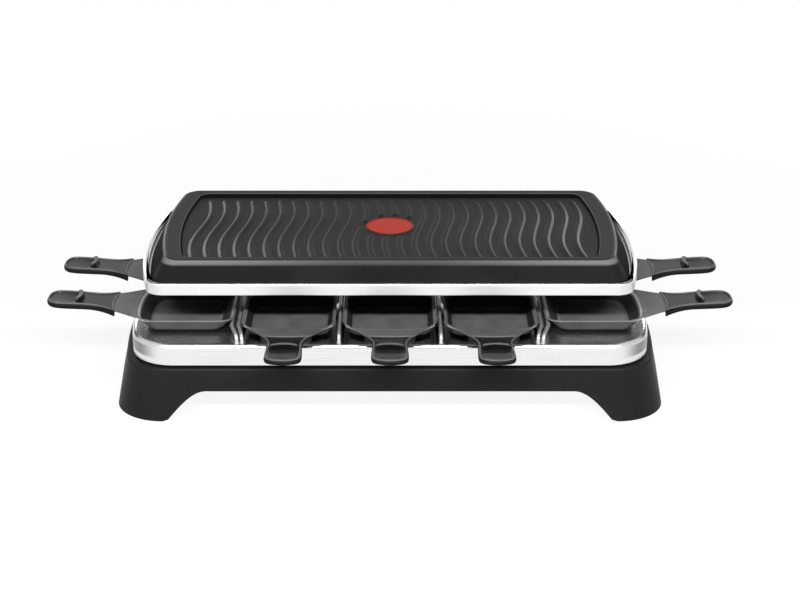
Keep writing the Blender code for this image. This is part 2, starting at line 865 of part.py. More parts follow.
def make_element(tube_material, ceramic):
    """Tubular element in one long loop with a pin at each end, its end seals and the terminal block."""
    near, far = terminal_xs
    inner = element_inner_y
    outer = element_outer_y
    z = element_z
    corners = [
        (near, 0.0, element_end), (near, 0.0, z), (near, -inner, z), (-element_left, -inner, z),
        (-element_left, -outer, z), (element_right, -outer, z), (element_right, outer, z),
        (-element_left, outer, z), (-element_left, inner, z), (far, inner, z), (far, 0.0, z),
        (far, 0.0, element_end),
    ]
    tube = bent(corners, element_bend, element_bend_steps, terminal_bend)
    radius = element_diameter / 2
    first = [Vector((near, 0.0, pin_low)), Vector((near, 0.0, element_end - touch))]
    last = [Vector((far, 0.0, element_end - touch)), Vector((far, 0.0, pin_low))]
    radii = [pin_radius] * 2 + [radius] * len(tube) + [pin_radius] * 2
    loft("heating_element", swept_rings(first + tube + last, radii, element_sides), tube_material)

    places = [(x, 0.0) for x in terminal_xs]
    bore = radius + touch
    body = bore + seal_wall
    under = column_top - column_wall - touch
    low = under - seal_flange_height
    profile = [(bore, low), (bore + seal_flange, low), (bore + seal_flange, under), (body, under),
               (body, column_top), (bore, column_top)]
    for word, place in zip(("left", "right"), places):
        loft("element_seal_" + word, turned_rings(profile, round_sides, place), ceramic, loop=True)

    half = block_length / 2
    deep = block_depth / 2
    block = loft("terminal_block", block_rings((column_x - half, -deep, block_top - block_height),
                                               (column_x + half, deep, block_top)), ceramic)
    holes = bores("pin_bores", places, pin_radius + touch, pin_low - touch,
                  block_top + overrun, screw_sides)
    combine(block, holes, "DIFFERENCE")


def make_wiring(cover_material, block_material, lead_materials, screw_material, rubber):
    """Cover under the base with the supply block, cord clamp, gland and the three inner leads."""
    low_x, high_x = rib_rows
    cover_low = cover_top - cover_thickness
    cover = loft("wiring_cover", block_rings((low_x - cover_margin, -cover_margin, cover_low),
                                             (high_x + cover_margin, cover_far_y + cover_margin, cover_top)),
                 cover_material)
    places = [(x, cover_screw_y) for x in rib_rows]
    combine(cover, bores("cover_holes", places, screw_radius + touch, cover_low - overrun,
                         cover_top + overrun, screw_sides), "DIFFERENCE")
    clamp_place = [(column_x + clamp_screw_x, clamp_y)]
    combine(cover, bores("clamp_pilot", clamp_place, screw_radius + touch, cover_low - overrun,
                         cover_top + overrun, screw_sides), "DIFFERENCE")
    for word, place in zip(("left", "right"), places):
        screw("cover_screw_" + word, cover_low - touch, -cover_screw_length, place, screw_material)

    stand = cover_top + touch
    half = supply_length / 2
    supply = loft("supply_block", block_rings((column_x - half, supply_y - supply_depth / 2, stand),
                                              (column_x + half, supply_y + supply_depth / 2,
                                               stand + supply_height)), block_material)
    supply.data.shade_flat()

    half = clamp_length / 2
    deep = clamp_depth / 2
    clamp = loft("cord_clamp", block_rings((column_x - half, clamp_y - deep, stand),
                                           (column_x + half, clamp_y + deep, stand + clamp_height)),
                 block_material)
    tunnel_height = clamp_arch
    steps = round_sides // 2
    arc = [(column_x + clamp_arch * math.cos(math.pi * step / steps),
            stand + tunnel_height * math.sin(math.pi * step / steps)) for step in range(steps + 1)]
    arc = [(column_x + clamp_arch, stand - overrun)] + arc + [(column_x - clamp_arch, stand - overrun)]
    tunnel = [[(x, clamp_y + side * clamp_depth, z) for x, z in arc] for side in (-1, 1)]
    combine(clamp, tool("clamp_tunnel", [tunnel]), "DIFFERENCE")
    combine(clamp, bores("clamp_hole", clamp_place, screw_radius + touch, stand - overrun,
                         stand + clamp_height + overrun, screw_sides), "DIFFERENCE")
    screw("clamp_screw", stand + clamp_height + touch, clamp_screw_length, clamp_place[0], screw_material)

    start_y = supply_y - supply_depth / 2 - touch
    lead_z = stand + supply_lead_height
    stop = block_top - block_height - touch
    for index, (name, material) in enumerate(lead_materials):
        x = column_x + (index - 1) * lead_pitch
        path = [(x, start_y, lead_z), (x, 0.0, lead_z), (x, 0.0, stop)]
        rod(name, bent(path, lead_bend, lead_bend_steps), lead_diameter, material)

    flange = gland_flange_height
    wall = base_wall
    profile = [(gland_bore, -wall / 2 - gland_tail), (gland_neck, -wall / 2 - gland_tail),
               (gland_neck, wall / 2 + touch), (gland_flange, wall / 2 + touch),
               (gland_flange, wall / 2 + touch + flange), (gland_bore, wall / 2 + touch + flange)]
    gland = loft("cord_gland", turned_rings(profile, round_sides), rubber, loop=True)
    set_gland_pose(gland)


def set_gland_pose(item):
    """Stand an item in the base's back wall, square to its slope, over the right-hand upright."""
    height = base_top - base_edge_round - base_clearance
    lean = math.atan2(foot_half_depth - base_half_depth, height)
    share = (gland_height - base_clearance) / height
    outer = foot_half_depth + (base_half_depth - foot_half_depth) * share
    item.location = (column_x, outer - base_wall / 2, gland_height)
    item.rotation_euler = (-math.pi / 2 + lean, 0.0, 0.0)


def rib_rings(x):
    """One wavy rib across the plate's floor."""
    rows = []
    low = plate_floor - rib_root
    high = plate_floor + rib_height
    for step in range(rib_segments + 1):
        share = step / rib_segments
        y = -rib_reach + 2 * rib_reach * share
        middle = x - rib_wave * math.sin(2 * math.pi * share)
        rows.append([(middle - rib_foot / 2, y, low), (middle + rib_foot / 2, y, low),
                     (middle + rib_crest / 2, y, high), (middle - rib_crest / 2, y, high)])
    return rows


def make_plate(material, spot_material):
    """Cast grill plate with a rim, a skirt and wavy ribs, and the disc in its middle."""
    bottom = ledge_top + touch
    low_flare, high_flare = flare_shares

    def recess(slope):
        return barrel(plate_half_length - plate_rim_end, plate_half_depth - plate_rim_side,
                      plate_bulge, plate_corner, slope)

    rings = [
        level(recess(recess_slope), plate_floor),
        level(recess(recess_slope / 3), plate_floor + plate_floor_depth * recess_depth_share),
        level(recess(0.0), plate_top),
        level(plate_outline(plate_draft + plate_shoulder_run, 1.0), plate_top),
        level(plate_outline(plate_draft + plate_shoulder_run * shoulder_shares[0], high_flare),
              plate_top - plate_shoulder * shoulder_shares[1]),
        level(plate_outline(plate_draft, low_flare), plate_top - plate_shoulder),
        level(plate_outline(), bottom),
        level(plate_outline(plate_wall), bottom),
        level(plate_outline(plate_wall + plate_draft, low_flare), plate_under),
    ]
    plate = loft("grill_plate", rings, material)

    half = (rib_count - 1) / 2
    bodies = [rib_rings((index - half) * rib_pitch) for index in range(rib_count)]
    ribs = tool("wavy_ribs", bodies)
    gap = bores("spot_clearance", [(0.0, 0.0)], spot_radius + spot_margin, plate_floor - overrun,
                plate_floor + overrun, spot_sides)
    combine(ribs, gap, "DIFFERENCE")
    combine(plate, ribs, "UNION")
    pocket = bores("spot_pocket", [(0.0, 0.0)], spot_radius + touch, plate_floor - spot_pocket,
                   plate_floor + overrun, spot_sides)
    combine(plate, pocket, "DIFFERENCE")

    low = plate_floor - spot_pocket + touch
    profile = [(spot_radius, low), (spot_radius, low + spot_thickness - touch),
               (spot_radius - touch, low + spot_thickness)]
    loft("heat_spot", turned_rings(profile, spot_sides), spot_material)


def main():
    clear_scene()
    black_plastic = finish("black_plastic", (0.012, 0.012, 0.013), 0.45)
    handle_plastic = finish("handle_plastic", (0.035, 0.035, 0.037), 0.5)
    non_stick = finish("non_stick", (0.016, 0.016, 0.018), 0.4)
    pan_coating = finish("pan_coating", (0.022, 0.022, 0.023), 0.35)
    steel = finish("brushed_steel", (0.55, 0.55, 0.54), 0.3, 1.0)
    satin = finish("satin_steel", (0.72, 0.72, 0.72), 0.35, 1.0)
    chrome = finish("chrome", (0.75, 0.75, 0.76), 0.12, 1.0)
    dark_steel = finish("dark_steel", (0.10, 0.10, 0.10), 0.45, 1.0)
    tube = finish("element_tube", (0.09, 0.10, 0.09), 0.5, 1.0)
    zinc = finish("zinc", (0.55, 0.55, 0.52), 0.4, 1.0)
    ceramic = finish("ceramic", (0.75, 0.72, 0.66), 0.6)
    rubber = finish("rubber", (0.02, 0.02, 0.02), 0.8)
    red = finish("red_spot", (0.56, 0.05, 0.03), 0.45)
    leads = [
        ("live_lead", finish("brown_lead", (0.15, 0.06, 0.02), 0.5)),
        ("earth_lead", finish("green_lead", (0.20, 0.40, 0.05), 0.5)),
        ("neutral_lead", finish("blue_lead", (0.03, 0.10, 0.45), 0.5)),
    ]
    make_base(black_plastic)
    make_pads(rubber)
    make_deck(steel)
    make_rails(chrome)
    make_pans(pan_coating, handle_plastic)
    make_casing(satin)
    make_straps(dark_steel)
    make_columns(dark_steel, zinc)
    make_element(tube, ceramic)
    make_wiring(black_plastic, ceramic, leads, zinc, rubber)
    make_plate(non_stick, red)


main()
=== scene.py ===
"""Looks for a ten-pan raclette grill: each shell, pan and wire with its finish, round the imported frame."""
from math import atan2, cos, pi, radians, sin, sqrt, tan
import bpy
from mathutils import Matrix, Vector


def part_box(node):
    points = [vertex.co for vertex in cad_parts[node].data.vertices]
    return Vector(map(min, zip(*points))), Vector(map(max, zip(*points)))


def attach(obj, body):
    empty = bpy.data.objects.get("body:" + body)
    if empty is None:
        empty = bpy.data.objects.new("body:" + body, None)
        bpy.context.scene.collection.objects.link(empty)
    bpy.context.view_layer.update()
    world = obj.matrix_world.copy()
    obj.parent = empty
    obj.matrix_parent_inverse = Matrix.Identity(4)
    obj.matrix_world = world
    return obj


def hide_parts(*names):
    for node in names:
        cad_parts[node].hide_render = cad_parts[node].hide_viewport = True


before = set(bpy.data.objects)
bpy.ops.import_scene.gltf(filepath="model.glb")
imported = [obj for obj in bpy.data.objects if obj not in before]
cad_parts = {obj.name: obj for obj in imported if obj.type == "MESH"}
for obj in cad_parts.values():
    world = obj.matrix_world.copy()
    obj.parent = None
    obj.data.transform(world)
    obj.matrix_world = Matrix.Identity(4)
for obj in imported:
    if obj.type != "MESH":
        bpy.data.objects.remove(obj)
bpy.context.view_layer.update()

from types import SimpleNamespace

import bmesh
import bpy
from bpy.props import FloatProperty, FloatVectorProperty, PointerProperty
from mathutils import Matrix, Vector

bl_info = {
    "name": "Raclette grill",
    "version": (1, 0, 0),
    "blender": (4, 5, 0),
    "location": "View3D > Sidebar > Raclette grill",
    "description": "Builds a table-top raclette grill with its pans, deck and grill plate",
    "category": "Object",
}

MM = 0.001
PER_MM = 1.0 / MM
SMOOTH_ANGLE = radians(38)


# Sizes, written in millimetres and kept in metres

def mm(*lengths):
    return tuple(length * MM for length in lengths)


def metres(**lengths):
    """Lengths by name."""
    return SimpleNamespace(**{name: length * MM for name, length in lengths.items()})


def span(node):
    """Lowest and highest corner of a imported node."""
    low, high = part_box(node)
    return Vector(low), Vector(high)


def round_span(node):
    """Lowest and highest corner, middle and radius of an upright round node."""
    low, high = span(node)
    return low, high, ((low.x + high.x) / 2, (low.y + high.y) / 2), (high.x - low.x) / 2


def colour_prop(name, text, default):
    return FloatVectorProperty(name=name, description=text, subtype="COLOR", size=3, min=0.0, max=1.0,
                               default=default)


def length_prop(name, text, default):
    return FloatProperty(name=name, description=text, unit="LENGTH", min=0.0, default=default)


class GrillSizes(bpy.types.PropertyGroup):
    """Small sizes of the visible forms; the large ones come from the frame."""
    rib_height: length_prop("Rib height", "How far the wavy ribs stand above the plate's floor", 1.6 * MM)
    rib_wave: length_prop("Rib wave", "How far each rib sways to either side", 5.2 * MM)
    rib_pitch: length_prop("Rib pitch", "Distance from one rib to the next", 14.1 * MM)
    rib_width: length_prop("Rib width", "Width of a rib at its foot", 8.6 * MM)
    plate_shoulder: length_prop("Plate shoulder", "Rounding of the plate's outer top edge", 5.5 * MM)
    deck_round: length_prop("Deck rounding", "Rounding between the deck and its band", 5.0 * MM)
    wire: length_prop("Wire", "Diameter of the wire rails", 3.5 * MM)
    pan_sheet: length_prop("Pan sheet", "Thickness of the pressed pans", 1.2 * MM)
    collar: length_prop("Handle bead", "Width of the bead along a handle's sides", 1.6 * MM)


class GrillColours(bpy.types.PropertyGroup):
    """Colours of the finishes."""
    base: colour_prop("Base", "Moulded base", (0.008, 0.008, 0.0085))
    handle: colour_prop("Handles", "Moulded handles", (0.008, 0.008, 0.0084))
    plate: colour_prop("Grill plate", "Non-stick coat of the grill plate", (0.0085, 0.0085, 0.0088))
    pan: colour_prop("Pans", "Non-stick coat of the pans", (0.085, 0.085, 0.086))
    spot: colour_prop("Heat spot", "Disc in the middle of the plate", (0.285, 0.020, 0.010))
    steel: colour_prop("Deck", "Brushed steel of the deck", (0.83, 0.83, 0.83))
    satin: colour_prop("Casing", "Satin steel round the heater", (0.76, 0.76, 0.76))
    chrome: colour_prop("Wires", "Chrome of the wire rails", (0.60, 0.60, 0.61))


class GrillStage(bpy.types.PropertyGroup):
    """Camera and light."""
    distance: length_prop("Camera distance", "From the lens to the middle of the grill", 1.700)
    target_height: length_prop("Aim height", "Height that the camera looks at", 0.0705)
    elevation: FloatProperty(name="Elevation", description="Angle of the camera above level",
                             subtype="ANGLE", default=radians(22.46))
    lens: FloatProperty(name="Lens", description="Focal length on a 36 mm sensor", min=1.0, default=76.5)
    shift: FloatProperty(name="Shift", description="Sideways lens shift, in frame widths", default=0.0125)
    lamp: FloatProperty(name="Lamp strength", description="Scales every lamp", min=0.0, default=1.0)


# Shader sums

class Tap:
    """A node's output that can be used in sums."""

    def __init__(self, finish, socket):
        self.finish = finish
        self.socket = socket

    def out(self, key):
        """Another output of the same node."""
        return Tap(self.finish, self.socket.node.outputs[key])

    def maths(self, operation, *values):
        return self.finish.node("ShaderNodeMath", {"operation": operation}, dict(enumerate(values)))

    def __add__(self, other):
        return self.maths("ADD", self, other)

    __radd__ = __add__

    def __mul__(self, other):
        return self.maths("MULTIPLY", self, other)

    __rmul__ = __mul__

    def __sub__(self, other):
        return self.maths("SUBTRACT", self, other)

    def __rsub__(self, other):
        return self.maths("SUBTRACT", other, self)

    def __abs__(self):
        return self.maths("ABSOLUTE", self)

    def power(self, other):
        return self.maths("POWER", self, other)

    def above(self, other):
        return self.maths("GREATER_THAN", self, other)

    def either(self, other):
        return self.maths("MAXIMUM", self, other)

    def swing(self, amount):
        """A noise as half the amount to either side of zero."""
        return (self - 0.5) * amount

    def between(self, start, full):
        """0 at the start, 1 at the full end, eased in between; it may run downwards."""
        settings = {"interpolation_type": "SMOOTHSTEP"}
        return self.finish.node("ShaderNodeMapRange", settings, {0: self, 1: start, 2: full})


class Finish:
    """The nodes of a new material, or of the world that is handed in."""

    def __init__(self, name, world=None):
        self.owner = world or bpy.data.materials.new(name)
        self.owner.use_nodes = True
        self.tree = self.owner.node_tree
        self.tree.nodes.clear()
        self.end = self.tree.nodes.new("ShaderNodeOutputWorld" if world else "ShaderNodeOutputMaterial")

    def node(self, kind, settings=None, inputs=None):
        """Add a node, its settings first, then the values or links of its sockets: gives its first output."""
        made = self.tree.nodes.new(kind)
        for key, value in (settings or {}).items():
            setattr(made, key, value)
        for key, value in (inputs or {}).items():
            socket = made.inputs[key]
            if isinstance(value, Tap):
                self.tree.links.new(value.socket, socket)
            elif socket.type == "RGBA" and len(value) == 3:
                socket.default_value = (*value, 1.0)
            else:
                socket.default_value = value
        return Tap(self, made.outputs[0])

    def place(self):
        """Object space, in metres."""
        return self.node("ShaderNodeTexCoord").out("Object")

    def split(self, vector):
        parts = self.node("ShaderNodeSeparateXYZ", None, {0: vector})
        return parts, parts.out("Y"), parts.out("Z")

    def away(self):
        """Distance from the upright axis."""
        x, y, _ = self.split(self.place())
        return (x * x + y * y).power(0.5)

    def upward(self):
        """How far a face looks up."""
        return self.split(self.node("ShaderNodeNewGeometry").out("Normal"))[2]

    def noise(self, scale, detail, roughness, stretch=None):
        """A noise in object space, whose axes may be stretched."""
        vector = self.place()
        if stretch:
            vector = self.node("ShaderNodeVectorMath", {"operation": "MULTIPLY"}, {0: vector, 1: stretch})
        inputs = {"Vector": vector, "Scale": scale, "Detail": detail, "Roughness": roughness}
        return self.node("ShaderNodeTexNoise", None, inputs)

    def mix(self, factor, first, second):
        """Mix two colours."""
        return self.node("ShaderNodeMix", {"data_type": "RGBA"}, {0: factor, 6: first, 7: second}).out(2)

    def mottle(self, noise, colour, dark, light, ends=(0.3, 0.7)):
        """A colour that wanders between two of its shades."""
        return self.mix(noise.between(*ends), shade(colour, dark), shade(colour, light))

    def layered(self, tint, colour, *layers):
        """Lay shades of a colour over a tint, each with its mask."""
        for mask, factor in layers:
            tint = self.mix(mask, tint, shade(colour, factor))
        return tint

    def seen_directly(self):
        """1 where a camera, glossy or transmission ray arrives."""
        path = self.node("ShaderNodeLightPath")
        total = path.out("Is Camera Ray") + path.out("Is Glossy Ray") + path.out("Is Transmission Ray")
        return total.above(0.5)

    def close(self, shader):
        """Send a shader to the output."""
        self.tree.links.new(shader.socket, self.end.inputs["Surface"])
        return self.owner

    def principled(self, tint, rough, relief, depth, metallic=0.0, gloss=0.5):
        """Close with a principled surface; the relief's depth is in millimetres."""
        bump = {"Height": relief, "Distance": depth * MM, "Strength": 1.0}
        normal = self.node("ShaderNodeBump", None, bump)
        return self.close(self.node("ShaderNodeBsdfPrincipled", None, {
            "Base Color": tint, "Roughness": rough, "Normal": normal, "Metallic": metallic,
            "Specular IOR Level": gloss}))


def shade(colour, factor):
    """A colour made lighter or darker."""
    return tuple(min(1.0, channel * factor) for channel in colour)


# Finishes: noises are scale, detail and roughness, and widths of masks are in millimetres

def plain_finish(name, cloud, tints, ends, rough, swing, depth, metallic=0.0, grain=None):
    """Two tints mixed by a noise, which is roughness and relief too unless a finer grain is given."""
    made = Finish(name)
    cloud = made.noise(*cloud)
    tint = made.mix(cloud.between(*ends) if ends else cloud, *tints)
    fine = made.noise(*grain) if grain else cloud
    return made.principled(tint, rough + fine.swing(swing) if swing else rough, fine, depth, metallic)


def moulded_plastic(name, colour, roughness, grain, depth, gloss):
    """Matte moulded plastic with a fine spark-eroded grain and faint unevenness."""
    made = Finish(name)
    spots = made.noise(PER_MM / grain, 2.0, 0.6)
    cloud = made.noise(28.0, 3.0, 0.55)
    tint = made.mottle(cloud, colour, 0.88, 1.14)
    tint = made.layered(tint, colour, (spots.between(0.35, 0.75) * 0.5, 1.5))
    return made.principled(tint, roughness + cloud.swing(0.10) + spots.swing(0.10), spots, depth, gloss=gloss)


def stop_plastic(name, colour):
    """The handles' plastic on their thumb stops, painted lighter on faces that look up as a highlight and
    darker on the sides as shade.
    """
    made = Finish(name)
    spots = made.noise(1100.0, 2.0, 0.6)
    tint = made.mottle(made.upward(), colour, 0.4, 7.0, (0.45, 0.85))
    return made.principled(tint, 0.44 + spots.swing(0.1), spots, 0.02, gloss=0.14)


def cast_coating(name, colour, edge=False):
    """Non-stick coat sprayed on a casting: a dense pebble with pale flecks, with painted highlights and
    painted shade along the plate's edge when asked.
    """
    made = Finish(name)
    pebble = made.noise(900.0, 3.0, 0.6)
    cloud = made.noise(18.0, 3.0, 0.5)
    cells = made.node("ShaderNodeTexVoronoi", {"feature": "F1"}, {"Vector": made.place(), "Scale": 700.0})
    tint = made.mottle(cloud, colour, 0.85, 1.2)
    tint = made.layered(tint, colour, (cells.out("Distance").between(0.16, 0.05) * 0.35, 4.0))
    rough = 0.40 + pebble.swing(0.16) + cloud.swing(0.08)
    # Painted light along the plate's edge: lighter where highlights fall, darker where shade falls.
    if edge:
        layers, dull = plate_edge_painted_light(made)
        tint = made.layered(tint, colour, *layers)
        rough = rough + dull * 0.45
    return made.principled(tint, rough, pebble, 0.04, gloss=0.05)


def plate_edge_painted_light(made):
    """Painted highlights on the plate's flat rim, shoulder roll, outer crease and recess lip, and painted
    shade on its recess walls, back floor and flanks, each with its mask; and the mask of the shaded parts,
    which are also made rougher.
    """
    x, y, z = made.split(made.place())
    high = span("grill_plate")[1]
    down = (high.z - z) * PER_MM
    half_depth = high.y - PLATE.draft - PLATE.shoulder_run - PLATE.edge_flat
    end = high.x - PLATE.end_lean - PLATE.end_round - PLATE.edge_flat
    end = end - y * y * ((PLATE.bulge + PLATE.top_bulge) / half_depth ** 2)
    turn = PLATE.corner + PLATE.top_corner - PLATE.edge_turn
    across = abs(x) - end + turn
    along = abs(y) - (half_depth - turn)
    past = (across * across + along * along).above(turn * turn) * across.above(0.0) * along.above(0.0)
    outside = abs(y).above(half_depth).either(abs(x).above(end)).either(past)
    inside = 1.0 - outside
    side = ((half_depth - abs(y)) * PER_MM).between(16.0, 1.0)
    out = abs(x) * PER_MM
    # Painted highlight on the shoulder, brighter towards the ends.
    gleam = 0.30 + out.between(20.0, 200.0) * 0.60 + out.between(195.0, 212.0) * 0.5
    roll = down.between(6.4, 3.5) * down.between(0.1, 1.4) * outside
    lip = down.between(1.6, 0.6) * down.between(0.05, 0.5) * inside
    crease = down.between(1.4, 0.7) * (1.0 - side) * outside
    recess = down.between(3.4, 3.0)
    back = ((high.y - PLATE.rim_side - y) * PER_MM).between(9.5, 6.0)
    pit = (recess * down.between(0.9, 1.8) + (1.0 - recess) * back) * inside
    flank = outside * (1.0 - side) * down.between(1.2, 2.0)
    flat = down.between(0.4, 0.1)
    # Each layer is a mask and how many times lighter or darker: flat, roll, crease and lip are painted
    # highlights, pit and flank painted shade.
    layers = ((flat, 1.7), (roll * side * gleam, 13.0), (crease * 0.7, 5.0), (lip * 0.8, 8.0),
              (pit * 0.9, 0.05), (flank * 0.8, 0.20))
    return layers, pit + flank


def pan_coating(name, colour):
    """Thin smooth non-stick coat on pressed steel, a little cloudy, with a painted highlight on the rolled
    fold, painted shade on its walls, underside and neck, and a painted contact shadow along its foot.
    """
    made = Finish(name)
    fine = made.noise(1300.0, 2.0, 0.5)
    cloud = made.noise(45.0, 3.0, 0.5)
    x, _, z = made.split(made.place())
    up = z * PER_MM
    down = (PAN.height - z) * PER_MM
    past_bowl = (x - PAN.far_end) * PER_MM
    upper = made.upward().above(0.0)
    under = 1.0 - upper
    fold = down.between(2.4, 1.4) * down.between(0.2, 0.8)
    wall = up.between(1.8, 3.2) * down.between(2.2, 4.0) * upper
    foot = under * up.between(4.2, 2.2)
    tint = made.mottle(cloud, colour, 0.85, 1.2)
    # Layers: the fold and the fold by the neck are painted highlights; walls, underside and neck painted
    # shade; the foot a painted contact shadow.
    tint = made.layered(tint, colour, (fold, 3.0), (wall * 0.9, 0.08), (under * 0.55, 0.10),
                        (fold * past_bowl.between(-12.0, -4.0), 5.0), (foot, 0.01),
                        (past_bowl.between(1.0, 5.0) * 0.22, 0.10))
    rough = 0.33 + cloud.swing(0.10) + fine.swing(0.12) + (wall + foot) * 0.45
    return made.principled(tint, rough, fine, 0.02, gloss=0.12)


def brushed_steel(name, colour, roughness, depth, mirror=None):
    """Steel brushed along x, with long hair lines; smoother within the mirror distance of the middle, with
    painted shade on the band's front corners.
    """
    made = Finish(name)
    hair = made.noise(22.0, 5.0, 0.7, (1.0, 60.0, 60.0))
    cloud = made.noise(12.0, 2.0, 0.5)
    tint = made.mottle(hair, colour, 0.93, 1.05, (0.25, 0.75))
    rough = roughness + hair.swing(0.12) + cloud.swing(0.06)
    if mirror:
        x, y, z = made.split(made.place())
        out = abs(x) * PER_MM
        down = (span("deck_tray")[1].z - z) * PER_MM
        rough = rough - 0.12 - out.between(mirror + 14.0, mirror - 14.0) * 0.20
        # Painted shade: the front corners of the deck's band are darkened where their reflection is grey.
        corner = out.between(216.0, 238.0) * out.between(251.5, 247.5) * (1.0 - y.above(0.0))
        corner = corner * down.between(2.0, 4.5) * down.between(16.5, 13.0)
        tint = made.layered(tint, colour, (corner, 0.30))
    return made.principled(tint, rough, hair, depth, 1.0)


def red_coat(name, colour, radius):
    """Red coat with a darker ring at its edge."""
    made = Finish(name)
    fine = made.noise(800.0, 3.0, 0.6)
    ring = ((radius - made.away()) * PER_MM).between(3.0, 0.8)
    tint = made.layered(made.mottle(fine, colour, 0.90, 1.10), colour, (ring * 0.75, 0.28))
    return made.principled(tint, 0.46 + fine.swing(0.14), fine, 0.03, gloss=0.10)


finishes = {}


def finish_of(slot):
    """The material of a record slot, made once."""
    if slot in finishes:
        return finishes[slot]
    tones = bpy.context.scene.grill_colours
    wide = (0.3, 0.7)
    wires = (shade(tones.chrome, 0.95), shade(tones.chrome, 1.03))
    clay = ((0.70, 0.66, 0.60), (0.80, 0.77, 0.72))
    rubber = ((0.016, 0.016, 0.017), (0.030, 0.030, 0.031))
    browned = ((0.085, 0.090, 0.080), (0.120, 0.095, 0.070))
    recipes = {
        "black_plastic": (moulded_plastic, "base_plastic", tones.base, 0.50, 1.1, 0.05, 0.09),
        "handle_plastic": (moulded_plastic, "handle_plastic", tones.handle, 0.24, 0.9, 0.01, 0.33),
        # Lighter and darker copies of the handle plastic: a painted highlight on the bead and painted shade
        # on the skirt.
        "handle_bead": (moulded_plastic, "bead_plastic", shade(tones.handle, 8.0), 0.45, 0.9, 0.02, 0.14),
        "handle_skirt": (moulded_plastic, "skirt_plastic", shade(tones.handle, 0.6), 0.5, 0.9, 0.02, 0.08),
        "handle_dish": (moulded_plastic, "dish_plastic", tones.handle, 0.38, 0.9, 0.01, 0.13),
        "handle_stop": (stop_plastic, "stop_plastic", tones.handle),
        "non_stick": (cast_coating, "plate_coating", tones.plate),
        # The plate body's coat, with painted highlights and painted shade along its edge.
        "non_stick_edge": (cast_coating, "plate_body_coating", tones.plate, True),
        "pan_coating": (pan_coating, "pan_coating", tones.pan),
        "brushed_steel": (brushed_steel, "deck_steel", tones.steel, 0.40, 0.003, 150.0),
        "satin_steel": (brushed_steel, "casing_steel", tones.satin, 0.42, 0.007),
        "red_spot": (red_coat, "spot_red", tones.spot, span("heat_spot")[1].x),
        "chrome": (plain_finish, "wire_chrome", (420.0, 2.0, 0.5), wires, None, 0.24, 0.08, 0.01, 0.75),
        "ceramic": (plain_finish, "fired_clay", (1100.0, 3.0, 0.6), clay, wide, 0.62, 0.1, 0.04),
        "rubber": (plain_finish, "soft_rubber", (1500.0, 2.0, 0.6), rubber, None, 0.78, 0.1, 0.05),
        "element_tube": (plain_finish, "element_sheath", (60.0, 4.0, 0.6), browned, (0.35, 0.65), 0.48, 0.2,
                         0.03, 0.9, (900.0, 2.0, 0.5)),
    }
    for key, name, colour, rough in (("dark_steel", "coated_steel", (0.10, 0.10, 0.10), 0.45),
                                     ("zinc", "zinc_plate", (0.55, 0.55, 0.52), 0.38)):
        tints = (shade(colour, 0.88), shade(colour, 1.12))
        recipes[key] = (plain_finish, name, (90.0, 3.0, 0.6), tints, wide, rough, 0.16, 0.04, 1.0)
    silicone = (1600.0, 2.0, 0.5)
    for word, colour in (("brown", (0.15, 0.06, 0.02)), ("green", (0.20, 0.40, 0.05)),
                         ("blue", (0.03, 0.10, 0.45))):
        tints = (shade(colour, 0.85), shade(colour, 1.15))
        recipes[word + "_lead"] = (plain_finish, word + "_sleeve", silicone, tints, None, 0.5, 0, 0.02)
    maker, *values = recipes[slot]
    finishes[slot] = maker(*values)
    return finishes[slot]


# Outlines, profiles and skins

CORNER_STEPS = 14
END_STEPS = 12
EDGE_STEPS = 5


def smoothed(share):
    """A share held between 0 and 1 and eased at both ends."""
    share = min(1.0, max(0.0, share))
    return share * share * (3 - 2 * share)


def barrel(half_length, half_depth, bulge, corner, inset=0.0, side_shares=()):
    """A rounded rectangle whose short ends bow outwards, anticlockwise from +X."""
    length = half_length - inset
    depth = half_depth - inset
    rounding = max(corner - inset, corner / 4)
    radius = (depth ** 2 + bulge ** 2) / (2 * bulge)
    arc_x = length - radius
    centre_y = depth - rounding
    centre_x = arc_x + sqrt((radius - rounding) ** 2 - centre_y ** 2)
    turn = atan2(centre_y, centre_x - arc_x)
    quarter = []
    for step in range(END_STEPS):
        angle = turn * step / END_STEPS
        quarter.append((arc_x + radius * cos(angle), radius * sin(angle)))
    for step in range(CORNER_STEPS + 1):
        angle = turn + (pi / 2 - turn) * step / CORNER_STEPS
        quarter.append((centre_x + rounding * cos(angle), centre_y + rounding * sin(angle)))
    side = [(centre_x * share, depth) for share in side_shares]
    upper = quarter + side + [(-x, y) for x, y in reversed(quarter + side)]
    return upper + [(x, -y) for x, y in reversed(upper[1:-1])]


def level(points, z):
    return [(x, y, z) for x, y in points]


def eased(line, steps=EDGE_STEPS):
    """Round the inner corners of a line of (across, up, radius)."""
    points = []
    for index, (across, up, radius) in enumerate(line):
        here = Vector((across, up))
        if radius <= 0:
            points.append(here)
            continue
        back = Vector(line[index - 1][:2]) - here
        ahead = Vector(line[index + 1][:2]) - here
        reach = min(radius / tan(back.angle(ahead) / 2), back.length * 0.49, ahead.length * 0.49)
        start = here + back.normalized() * reach
        stop = here + ahead.normalized() * reach
        for step in range(steps + 1):
            share = step / steps
            points.append(start * (1 - share) ** 2 + here * (2 * share * (1 - share)) + stop * share ** 2)
    return points


def turned(profile, sides, centre=(0.0, 0.0)):
    """Rings of a turned body from (radius, height) pairs."""
    angles = [2 * pi * side / sides for side in range(sides)]
    return [[(centre[0] + radius * cos(a), centre[1] + radius * sin(a), z) for a in angles]
            for radius, z in profile]


